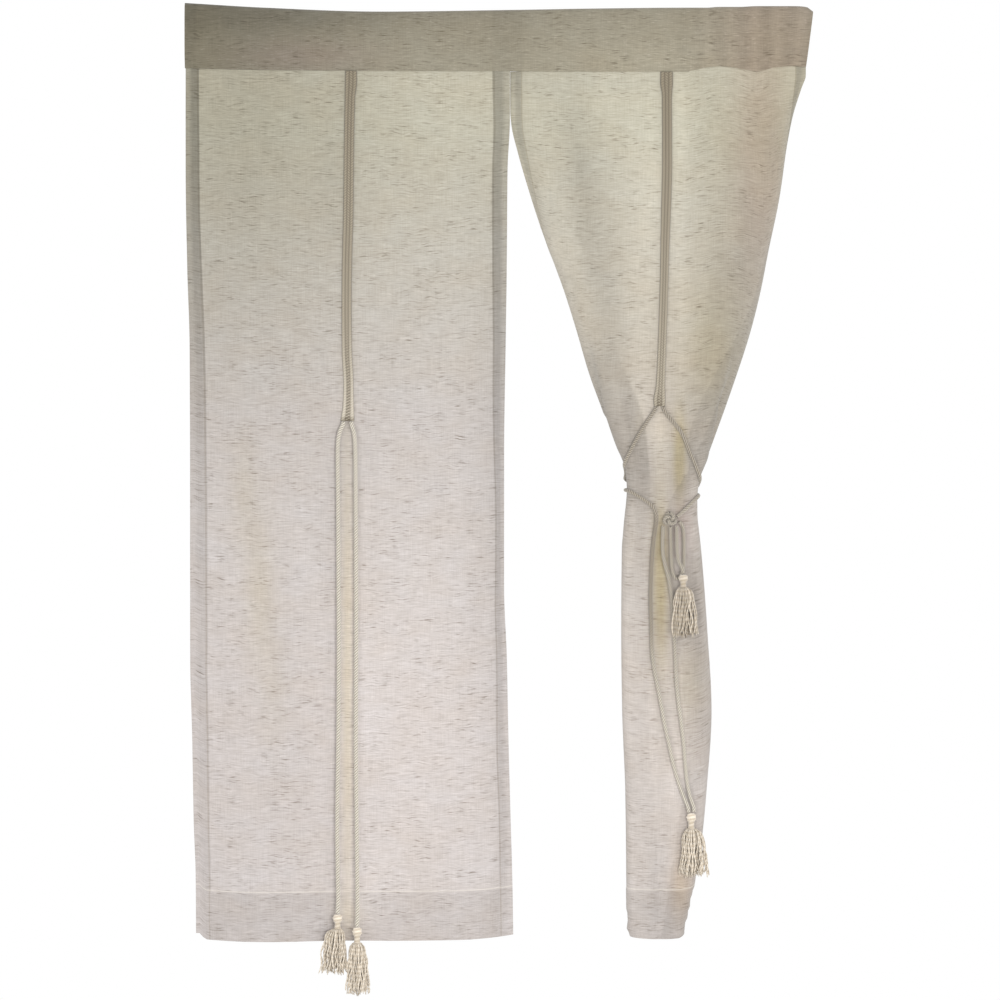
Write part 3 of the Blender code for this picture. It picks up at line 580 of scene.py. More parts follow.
def makeLinen(name, high, middle, low):
    # Washed slubby linen in plain weave: matte, with uneven weft threads that read as short
    # level streaks, fine warp lines across them and some dark slubs
    material, tree, surface = startMaterial(name, 0.88, 0.15)
    cloth = addNode(tree, "ShaderNodeAttribute", attribute_name="cloth").outputs["Vector"]

    # the weft wanders a millimetre or two up and down
    slow = addNode(tree, "ShaderNodeVectorMath", {0: cloth, 1: (1 / 0.024, 1 / 0.016, 1.0)}, operation="MULTIPLY")
    drift = addNode(tree, "ShaderNodeTexNoise", {"Vector": slow.outputs[0], "Scale": 1.0, "Detail": 1.0})
    drift = addNode(tree, "ShaderNodeMath", {0: drift.outputs["Fac"], 1: linen["drift"], 2: -0.5 * linen["drift"]},
                    operation="MULTIPLY_ADD")
    drift = addNode(tree, "ShaderNodeCombineXYZ", {"Y": drift.outputs[0]})
    cloth = addNode(tree, "ShaderNodeVectorMath", {0: cloth, 1: drift.outputs[0]}, operation="ADD").outputs[0]

    def threads(across, along, detail, shift=0.0):
        place = addNode(tree, "ShaderNodeVectorMath",
                        {0: cloth, 1: (1 / across, 1 / along, 1.0), 2: (shift, shift, shift)}, operation="MULTIPLY_ADD")
        return addNode(tree, "ShaderNodeTexNoise", {"Vector": place.outputs[0], "Scale": 1.0, "Detail": detail,
                                                    "Roughness": 0.6}).outputs["Fac"]

    def level(value, low, high):
        return addNode(tree, "ShaderNodeMapRange", {"Value": value, "From Min": low, "From Max": high},
                       clamp=True).outputs[0]

    def blend(factor, first, second, how="MIX"):
        return addNode(tree, "ShaderNodeMix", {0: factor, 6: first, 7: second}, data_type="RGBA",
                       blend_type=how).outputs[2]

    # a little yellower at the top, cooler towards the floor and paler there in painted light
    place = addNode(tree, "ShaderNodeTexCoord").outputs["Object"]
    height = addNode(tree, "ShaderNodeSeparateXYZ", {0: place}).outputs["Z"]
    colour = blend(level(height, -0.15, -0.52), fromHex(high), fromHex(middle))
    colour = blend(level(height, -0.52, -0.9), colour, fromHex(low))

    weft = threads(linen["streak"], linen["weftPitch"], 2.0)
    warp = threads(linen["warpPitch"], 0.03, 2.0, 7.0)
    slub = threads(linen["slub"], linen["weftPitch"] * 1.25, 1.0, 31.0)
    mottle = threads(0.07, 0.05, 2.0, 53.0)
    groups = level(threads(0.060, 0.017, 1.0, 97.0), 0.36, 0.62)
    slubs = addNode(tree, "ShaderNodeMath", {0: level(slub, 0.55, 0.78), 1: groups}, operation="MULTIPLY").outputs[0]
    weave = addNode(tree, "ShaderNodeMath", {0: level(weft, 0.3, 0.7), 1: 0.72}, operation="MULTIPLY")
    weave = addNode(tree, "ShaderNodeMath", {0: level(warp, 0.3, 0.7), 1: 0.28, 2: weave.outputs[0]},
                    operation="MULTIPLY_ADD").outputs[0]
    colour = blend(1.0, colour, blend(weave, fromHex("d6d4d1"), fromHex("ffffff")), "MULTIPLY")
    colour = blend(slubs, colour, blend(1.0, colour, fromHex("aaa298"), "MULTIPLY"))
    colour = blend(level(mottle, 0.3, 0.7), colour, blend(1.0, colour, fromHex("fbf8f4"), "MULTIPLY"))
    nep = level(threads(0.0075, 0.0015, 1.0, 71.0), 0.60, 0.76)
    colour = blend(nep, colour, blend(1.0, colour, fromHex("56524d"), "SCREEN"))     # pale lumps of loose fibre

    # painted on the points: painted shade where layers or hems lie behind and painted light and shade in patches,
    # warmer where light comes through
    tone = addNode(tree, "ShaderNodeAttribute", attribute_name="tone").outputs["Fac"]
    shade = addNode(tree, "ShaderNodeCombineColor", {0: tone, 1: tone, 2: tone}).outputs[0]
    colour = blend(1.0, colour, shade, "MULTIPLY")
    warmth = addNode(tree, "ShaderNodeAttribute", attribute_name="warmth").outputs["Fac"]
    colour = blend(warmth, colour, blend(1.0, colour, fromHex("fbf3cf"), "MULTIPLY"))
    blush = addNode(tree, "ShaderNodeAttribute", attribute_name="blush").outputs["Fac"]
    colour = blend(blush, colour, blend(1.0, colour, fromHex("fff6fb"), "MULTIPLY"))

    # sewing: a darker line where a side hem ends, a paler one along the bottom hem
    edges = addNode(tree, "ShaderNodeAttribute", attribute_name="edges").outputs["Vector"]
    apart = addNode(tree, "ShaderNodeSeparateXYZ", {0: edges})

    def line(value, place, half):
        off = addNode(tree, "ShaderNodeMath", {0: value, 1: place}, operation="SUBTRACT").outputs[0]
        off = addNode(tree, "ShaderNodeMath", {0: off}, operation="ABSOLUTE").outputs[0]
        return level(off, half, half * 0.3)

    sideLine = line(apart.outputs["X"], linen["sideHem"] - 0.0012, 0.0011)
    bottomLine = line(apart.outputs["Y"], linen["bottomHem"] - 0.001, 0.0011)
    sideLine = addNode(tree, "ShaderNodeMath", {0: sideLine, 1: 0.35}, operation="MULTIPLY").outputs[0]
    bottomLine = addNode(tree, "ShaderNodeMath", {0: bottomLine, 1: 0.35}, operation="MULTIPLY").outputs[0]
    colour = blend(sideLine, colour, blend(1.0, colour, fromHex("cfc8b8"), "MULTIPLY"))
    colour = blend(bottomLine, colour, fromHex("d6d0c6"))
    tree.links.new(colour, surface.inputs["Base Color"])

    relief = addNode(tree, "ShaderNodeMath", {0: slub, 1: 0.5, 2: weave}, operation="MULTIPLY_ADD").outputs[0]
    relief = addNode(tree, "ShaderNodeMath", {0: sideLine, 1: -2.0, 2: relief}, operation="MULTIPLY_ADD").outputs[0]
    bump = addNode(tree, "ShaderNodeBump", {"Height": relief, "Strength": 0.5, "Distance": 0.0006})
    tree.links.new(bump.outputs[0], surface.inputs["Normal"])
    return material


panelLinen = makeLinen("washed_slub_linen", "b1ae9f", "b9b4b2", "c1bbba")
# the heading's copy is darker in painted shade, where the doubled band lets less light through
headingLinen = makeLinen("doubled_slub_linen_shaded", "938e7e", "938e7e", "938e7e")


def stopsAlong(length, hem, count, step=0.0008):
    # even stops with a narrow step where the hem's second layer begins
    inside = np.linspace(0, length - hem - step, count)
    return np.concatenate([inside, np.linspace(length - hem, length, max(4, round(count * hem / length)))])


def layCloth(name, places, cloth, edges, tone, warmth, blush, material):
    # a grid set on the given places, thickened, a little more where it is turned over as a hem
    rows, columns = places.shape[:2]
    bpy.ops.mesh.primitive_grid_add(x_subdivisions=columns - 1, y_subdivisions=rows - 1, size=2)
    sheet = bpy.context.active_object
    sheet.name = name
    mesh = sheet.data
    flat = np.zeros(len(mesh.vertices) * 3)
    mesh.vertices.foreach_get("co", flat)
    flat = flat.reshape(-1, 3)
    at = np.rint((flat[:, 0] + 1) / 2 * (columns - 1)).astype(int)
    down = np.rint((1 - flat[:, 1]) / 2 * (rows - 1)).astype(int)
    mesh.vertices.foreach_set("co", places[down, at].ravel())
    addAttribute(mesh, "cloth", cloth[down, at], "FLOAT_VECTOR")
    addAttribute(mesh, "edges", edges[down, at], "FLOAT_VECTOR")
    addAttribute(mesh, "tone", tone[down, at])
    addAttribute(mesh, "warmth", warmth[down, at])
    addAttribute(mesh, "blush", blush[down, at])
    hem = (edges[down, at, 0] < linen["sideHem"] - 0.0001) | (edges[down, at, 1] < linen["bottomHem"] - 0.0001)
    group = sheet.vertex_groups.new(name="hems")
    group.add(np.flatnonzero(hem).tolist(), 1.0, "REPLACE")
    mesh.materials.append(material)
    thickness = sheet.modifiers.new("thickness", "SOLIDIFY")
    thickness.thickness = linen["hemThick"]
    thickness.offset = 0.0
    thickness.vertex_group = "hems"
    thickness.thickness_vertex_group = linen["thick"] / linen["hemThick"]
    applyModifiers(sheet)
    mesh.shade_smooth()
    mesh.set_sharp_from_angle(angle=math.radians(50))
    return sheet


def hemTone(edges, drop, shares):
    # less light comes through a hem, least of all high up and where its raw edge is turned in
    hem = (edges[..., 0] < linen["sideHem"]) | (edges[..., 1] < linen["bottomHem"])
    tone = np.where(hem, np.interp(drop, (0.10, 0.25, 0.60, 1.10), shares), 1.0)
    plain = np.clip((linen["turnIn"] - edges[..., 0]) / 0.003, 0, 1)
    return tone * (1 + plain * np.interp(drop, (0.10, 0.25, 0.42, 0.72, 1.10), (0.28, 0.23, 0.13, 0.10, 0.05)))


def softSum(x, drop, patches, column=4):
    # soft round patches: across, drop, half width, half height, then how much of each thing
    total = np.zeros(np.broadcast(x, drop).shape)
    for patch in patches:
        middle, low, wide, tall = [value * mm for value in patch[:4]]
        total = total + patch[column] * np.exp(-((x - middle) / wide) ** 2 - ((drop - low) / tall) ** 2)
    return total


def creaseDepth(x, drop, creases):
    # soft troughs and ridges along straight lines, in millimetres:
    # across and drop of one end and of the other, half width, depth
    depth = np.zeros(x.shape)
    for x1, drop1, x2, drop2, half, deep in creases:
        start = np.array([x1, drop1]) * mm
        way = np.array([x2, drop2]) * mm - start
        length = np.hypot(*way)
        way = way / length
        along = ((x - start[0]) * way[0] + (drop - start[1]) * way[1]) / length
        off = (x - start[0]) * way[1] - (drop - start[1]) * way[0]
        ends = np.clip(along * 4, 0, 1) * np.clip((1 - along) * 4, 0, 1)
        depth = depth + deep * mm * np.exp(-(off / (half * mm)) ** 2) * ends ** 1.5
    return depth


def rippleField(u, v, scale, seed):
    # smooth noise over a whole sheet, from sums of waves with fixed phases
    random.seed(seed)
    total = np.zeros(np.broadcast(u, v).shape)
    for k in range(14):
        angle = random.uniform(0, math.pi)
        wave = scale * random.uniform(0.6, 1.8)
        phase = random.uniform(0, 6.28)
        total = total + np.sin((u * math.cos(angle) + v * math.sin(angle)) * 2 * math.pi / wave + phase)
    return total / 14 ** 0.5


# heading, a double band sewn along its lower edge with its ends left open

heading = {
    "halfDepth": 0.007,
    "wall": 0.0013,
    "seamBand": 0.009,
    "columns": 300,
    # across, height of the top edge, drop of the lower seam
    "edge": [
        (-402, 9, 74.5), (-385, 8, 75), (-300, 3, 77), (-152, -2, 78), (10, 0, 78.5), (130, 2, 79),
        (238, 3, 79), (266, 3, 73.5), (282, 4, 72), (308, 4, 75), (330, 5, 79), (352, 5, 73.5),
        (378, 5, 72), (393, 4, 74), (402, -2, 76),
    ],
    # half of the section: share of the height from the top, share of the half depth
    "outside": [(0.02, 0.45), (0.08, 0.80), (0.22, 1.00), (0.50, 1.00), (0.80, 0.90), (0.92, 0.45), (1.00, 0.214)],
    "inside": [(0.03, 0.45), (0.09, 0.78), (0.22, 1.00), (0.50, 1.00), (0.84, 0.88), (0.96, 0.45), (1.00, 0.12)],
    # gathers at the right: across, half width, depth in millimetres
    "puckers": [(236, 9, 1.2), (253, 6, 1.6), (268, 7, -1.4), (283, 6, 1.8), (297, 5, -1.2), (312, 7, 2.0),
                (327, 5, -1.6), (341, 6, 2.2), (356, 5, -1.4), (369, 6, 2.0), (383, 5, -1.2), (392, 5, 1.6)],
    # left and right edge of the hems behind, and how much darker in painted shade
    "strips": [(-402, -386, -0.05), (-9, 29.5, -0.06), (383, 402, -0.03)],
    # painted light and shade: across, drop, half width, half height, lighter, warmer
    "patches": [
        (-402, 40, 220, 200, -0.37, 0.0), (-300, 6, 480, 24, -0.14, 0.0), (0, 40, 70, 80, -0.05, 0.0),
        (350, 40, 60, 60, 0.02, 0.2), (190, 64, 100, 24, 0.13, 0.0), (790, 70, 420, 20, -0.10, 0.0),
        (-240, 12, 130, 22, -0.08, 0.0), (-390, 30, 60, 200, 0.0, 0.2),
    ],
    # across, drop, half width, half height, how much pinker
    "blush": [(350, 40, 70, 200, 1.2), (-255, 60, 90, 22, 0.9)],
    "puckerShade": 34,      # darker by this share for each metre that a gather lies back
}

rightPanelTop = (215 * mm, 393 * mm)      # middle line and right fold at the seam
halfCloth = 0.2007
sideRadius = 0.0105
pleatRadius = 0.0046
pleatRun = 0.0198
pleatWidth = 0.047
widestFront = 0.060
centreGap = 0.006
foldColumns = (4, 5, 2, 3, 2, 3, 2, 3, 2)
hemStep = 0.001


def pleatFolds(width):
    # where the folds behind begin and end, in metres of cloth from the middle line
    pleat = min(width, pleatWidth)
    side = min(width, widestFront) - sideRadius
    second = pleat - sideRadius + math.pi * sideRadius + pleat - sideRadius - centreGap - pleatRadius
    turn = math.pi * pleatRadius
    third = second + turn + pleatRun
    fourth = third + turn + pleatRun
    return side, side + math.pi * sideRadius, second, second + turn, third, third + turn, fourth, fourth + turn


def headingStations():
    # where the heading's seam bends, which the panels follow
    plain = [x * mm for x in (-402, -385, -345, -290, -215, -140, -65, 10, 80, 145, 195)]
    reach = rightPanelTop[1] - rightPanelTop[0]
    ends = [0.0, *pleatFolds(reach), halfCloth - linen["sideHem"] - hemStep]
    stops = [0.0]
    for begin, finish, count in zip(ends, ends[1:], foldColumns):
        stops = stops + [begin + (finish - begin) * k / count for k in range(1, count + 1)]
    stops = stops + [halfCloth - linen["sideHem"], halfCloth - linen["sideHem"] / 2, halfCloth]
    return np.array(plain + [rightPanelTop[0] + stop / halfCloth * reach for stop in stops[::2]])


seamStations = headingStations()
seamDrops = smooth(seamStations, heading["edge"], 2)


def seamDrop(across):
    return np.interp(across, seamStations, seamDrops)


def puckerDepth(across):
    total = np.zeros(np.shape(across))
    for middle, half, deep in heading["puckers"]:
        total = total + deep * mm * np.exp(-((across - middle * mm) / (half * mm)) ** 2)
    return total


def pocketGrid(name, sides, halfDepth, inset, seamBand):
    # the heading's cloth as one grid, down its front, round the seam and up its back
    across = np.linspace(-402 * mm, rightPanelTop[1], heading["columns"])
    lean = 0.009 * np.clip((across - 0.330) / 0.063, 0, None) ** 2
    top = -smooth(across + lean, heading["edge"], 1) + inset
    bottom = seamDrop(across) - seamBand
    profile = np.array([(0.0, 0.0)] + sides)
    share = np.concatenate([np.linspace(0, 0.2, 10)[:-1] ** 1.4 * 0.2 ** -0.4, np.linspace(0.2, 1, 26)])
    reach = smooth(share, [(s * 1000, d * 1000, 0) for s, d in profile], 1)
    section = [(s, -r) for s, r in zip(share, reach)] + [(s, r) for s, r in zip(share[::-1], reach[::-1])]
    places = np.zeros((len(section), len(across), 3))
    cloth = np.zeros_like(places)
    for k, (s, r) in enumerate(section):
        drop = top + (bottom - top) * s
        hang = puckerDepth(across + lean * (1 - s)) * np.sin(math.pi * min(1, s * 0.6)) if r < 0 else 0.0
        places[k, :, 0] = across + lean * (1 - s)
        places[k, :, 1] = r * halfDepth + hang * (1 if s < 0.93 else 0.3)
        places[k, :, 2] = -drop
        cloth[k, :, 0] = across
        cloth[k, :, 1] = drop if r < 0 else -drop
    bpy.ops.mesh.primitive_grid_add(x_subdivisions=len(across) - 1, y_subdivisions=len(section) - 1, size=2)
    band = bpy.context.active_object
    band.name = name
    flat = np.zeros(len(band.data.vertices) * 3)
    band.data.vertices.foreach_get("co", flat)
    flat = flat.reshape(-1, 3)
    at = np.rint((flat[:, 0] + 1) / 2 * (len(across) - 1)).astype(int)
    down = np.rint((1 - flat[:, 1]) / 2 * (len(section) - 1)).astype(int)
    band.data.vertices.foreach_set("co", places[down, at].ravel())
    addAttribute(band.data, "cloth", cloth[down, at], "FLOAT_VECTOR")
    x = cloth[down, at, 0]
    drop = np.abs(cloth[down, at, 1])
    edges = np.stack([np.full(len(x), 1.0), np.full(len(x), 1.0), np.zeros(len(x))], axis=1)
    addAttribute(band.data, "edges", edges, "FLOAT_VECTOR")
    # painted shade of the hems behind and in the gathers, painted light and shade in patches
    tone = 1 + stripSum(x, drop, heading["strips"]) + softSum(x, drop, heading["patches"])
    addAttribute(band.data, "tone", tone - heading["puckerShade"] * puckerDepth(x))
    addAttribute(band.data, "blush", np.clip(softSum(x, drop, heading["blush"]), 0, 1.2))
    addAttribute(band.data, "warmth", np.clip(softSum(x, drop, heading["patches"], 5), 0, 1))
    return band


def stripSum(x, drop, strips):
    # strips of painted shade where hems run up behind: left and right edge, then how much
    total = np.zeros(x.shape)
    for left, right, much in strips:
        total = total + much * np.clip((x - left * mm) / 0.001, 0, 1) * np.clip((right * mm - x) / 0.001, 0, 1)
    return total


def buildHeading():
    outer = pocketGrid("heading_band", heading["outside"], heading["halfDepth"], 0.0, 0.0)
    lining = pocketGrid("heading_lining", heading["inside"], heading["halfDepth"] - heading["wall"],
                        heading["wall"], heading["seamBand"])
    bpy.ops.object.select_all(action="DESELECT")
    lining.select_set(True)
    outer.select_set(True)
    bpy.context.view_layer.objects.active = outer
    bpy.ops.object.join()
    bpy.ops.object.mode_set(mode="EDIT")
    bpy.ops.mesh.select_all(action="SELECT")
    bpy.ops.mesh.remove_doubles(threshold=0.00004)
    bpy.ops.mesh.select_all(action="DESELECT")
    bpy.ops.object.mode_set(mode="OBJECT")
    mesh = outer.data
    for end in (-1, 1):
        bpy.ops.object.mode_set(mode="EDIT")
        bpy.ops.mesh.select_all(action="DESELECT")
        bpy.ops.mesh.select_mode(type="EDGE")
        body = bmesh.from_edit_mesh(mesh)
        for edge in body.edges:
            if edge.is_boundary and (edge.verts[0].co.x + edge.verts[1].co.x) * end > 0:
                edge.select_set(True)
        bmesh.update_edit_mesh(mesh)
        bpy.ops.mesh.bridge_edge_loops()
        bpy.ops.object.mode_set(mode="OBJECT")
    bpy.ops.object.mode_set(mode="EDIT")
    bpy.ops.mesh.select_all(action="SELECT")
    bpy.ops.mesh.normals_make_consistent(inside=False)
    bpy.ops.object.mode_set(mode="OBJECT")
    mesh.materials.append(headingLinen)
    mesh.shade_smooth()
    mesh.set_sharp_from_angle(angle=math.radians(50))
    outer.select_set(False)
    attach(outer, "root")
    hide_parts("heading")
    return outer


headingBand = buildHeading()
print("heading sewn")


# left panel, hanging straight

leftPanel = {
    "length": 1.112,
    "halfCloth": 0.2075,
    "columns": 118,
    "rows": 250,
    # drop, left edge, right edge
    "edges": [
        (70, -401, 14.15), (138, -401, 14.1), (205, -401, 11), (330, -399, 10), (430, -396, 8.5),
        (580, -395.5, 6.5), (740, -395.5, 6.5), (830, -395.5, 10), (930, -393, 12), (1040, -391, 15),
        (1110, -388.5, 17), (1200, -388, 18.5),
    ],
    # drop, width of the left hem, of the right hem
    "hems": [
        (70, 16.5, 22.5), (109, 16.6, 22), (186, 17.3, 19.8), (262, 17.5, 19.2), (339, 18.6, 18.3),
        (416, 19.2, 16.6), (493, 20.5, 15.4), (570, 21.1, 13.4), (646, 22, 11.3), (723, 22.1, 11.5),
        (800, 22.4, 13.4), (877, 21.8, 14.7), (954, 21.1, 16), (1030, 20.5, 15.4), (1107, 19.2, 16.6), (1200, 19, 17),
    ],
    # across, half width, depth at the bottom
    "folds": [(-395, 45, 8), (-300, 60, -9), (-195, 55, 8), (-105, 50, 5), (-40, 45, -5), (15, 40, 9)],
    # across, drop of the lower edge
    "bottom": [(-390, 1182), (-380, 1190), (-300, 1192), (-150, 1192), (-60, 1190), (-10, 1187), (20, 1181)],
    # across and drop of both ends, half width, depth
    "creases": [
        (-340, 570, -276, 910, 13, 1.8), (-45, 530, -85, 708, 9, -1.2), (-330, 250, -345, 520, 16, -1.0),
        (-120, 260, -150, 470, 14, 1.0), (-60, 760, -40, 1060, 12, 1.2), (-262, 880, -240, 1130, 10, -1.0),
        (-365, 760, -350, 1000, 9, 1.0),
    ],
    "hemTones": (0.64, 0.67, 0.84, 0.88),      # high up, then lower and lower
    # painted light and shade: across, drop, half width, half height, lighter, warmer
    "patches": [
        (-330, 130, 130, 360, -0.20, 0.1), (-70, 300, 70, 420, 0.02, 0.0), (-215, 230, 25, 120, -0.05, 0.0),
        (-110, 330, 70, 330, -0.02, 0.0), (-22, 620, 24, 480, -0.06, 0.0), (-275, 960, 40, 230, -0.05, 0.0),
        (-165, 830, 14, 200, 0.05, 0.0), (-60, 110, 70, 60, 0.05, 0.0), (-8, 130, 14, 110, 0.05, 0.0),
        (-192, 1158, 24, 22, 0.14, 0.2), (-201.4, 850, 3, 330, 0.10, 0.0), (-188.6, 850, 3, 330, 0.12, 0.0),
        (-213, 850, 3, 330, 0.05, 0.0),
        (-120, 860, 110, 360, 0.09, 0.0), (-176, 850, 8, 330, 0.10, 0.0), (-176, 1130, 30, 60, 0.10, 0.0),
        (-330, 640, 90, 190, 0.04, 0.0), (-326, 620, 16, 70, -0.03, 0.2), (-306, 740, 18, 90, -0.03, 0.3),
        (-288, 870, 18, 80, -0.02, 0.15), (0, 640, 11, 620, -0.11, 0.0),
        (-194, 850, 8, 330, 0.14, 0.5),
    ],
}


def leftAcross(side, drop):
    # from the left edge (-1) to the right one (1), with each hem as wide as it shows
    left = smooth(drop, leftPanel["edges"], 1)
    right = smooth(drop, leftPanel["edges"], 2)
    hem = linen["sideHem"] / leftPanel["halfCloth"]
    wide = np.where(side < 0, smooth(drop, leftPanel["hems"], 1), smooth(drop, leftPanel["hems"], 2))
    share = 1 - np.abs(side)
    inward = np.where(share < hem, share / hem * wide, wide + (share - hem) / (1 - hem) * ((right - left) / 2 - wide))
    return np.where(side < 0, left + inward, right - inward)


def leftDepth(across, drop):
    # how far the panel's middle lies behind the hanging plane
    share = np.clip((drop - 0.08) / 1.1, 0, 1) ** 1.4
    depth = np.zeros(np.broadcast(across, drop).shape)
    for middle, halfWidth, deep in leftPanel["folds"]:
        depth = depth + deep * mm * share * np.exp(-((across - middle * mm) / (halfWidth * mm)) ** 2)
    return depth


def leftSurface(across, drop):
    # the folds with creases and small ripples, which stay clear of the cords in front
    clear = 1 - np.exp(-((across + 0.194) / 0.030) ** 2)
    small = creaseDepth(across, drop, leftPanel["creases"]) + 0.0005 * rippleField(across, drop, 0.09, 3)
    fall = np.clip((drop - 0.08) / 0.05, 0, 1)
    return leftDepth(across, drop) + small * clear * fall


def buildLeftPanel():
    half = leftPanel["halfCloth"]
    length = leftPanel["length"]
    stops = stopsAlong(half, linen["sideHem"], leftPanel["columns"] // 2)
    side = np.concatenate([-stops[:0:-1], stops]) / half
    share = stopsAlong(length, linen["bottomHem"], leftPanel["rows"]) / length
    side, share = np.meshgrid(side, share)
    across = leftAcross(side, np.full(side.shape, 0.6))
    top = seamDrop(across) + linen["seamGap"]
    bottom = smooth(across, leftPanel["bottom"], 1)
    drop = top + (bottom - top) * share
    across = leftAcross(side, drop)
    drop[0] = seamDrop(across[0]) + linen["seamGap"]
    places = np.stack([across, leftSurface(across, drop), -drop], axis=-1)
    cloth = np.stack([across, share * length, np.zeros(side.shape)], axis=-1)
    edges = np.stack([(1 - np.abs(side)) * half, (1 - share) * length, np.zeros(side.shape)], axis=-1)
    # painted shade in the hems, painted light and shade in patches
    tone = hemTone(edges, drop, leftPanel["hemTones"]) + softSum(across, drop, leftPanel["patches"])
    warmth = np.clip(softSum(across, drop, leftPanel["patches"], 5), 0, 1)
    panel = layCloth("left_panel_cloth", places, cloth, edges, tone, warmth, np.zeros(side.shape), panelLinen)
    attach(panel, "root")
    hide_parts("panel_left")
    return panel


leftCloth = buildLeftPanel()
print("left panel hung")


# right panel, drawn in by its tie

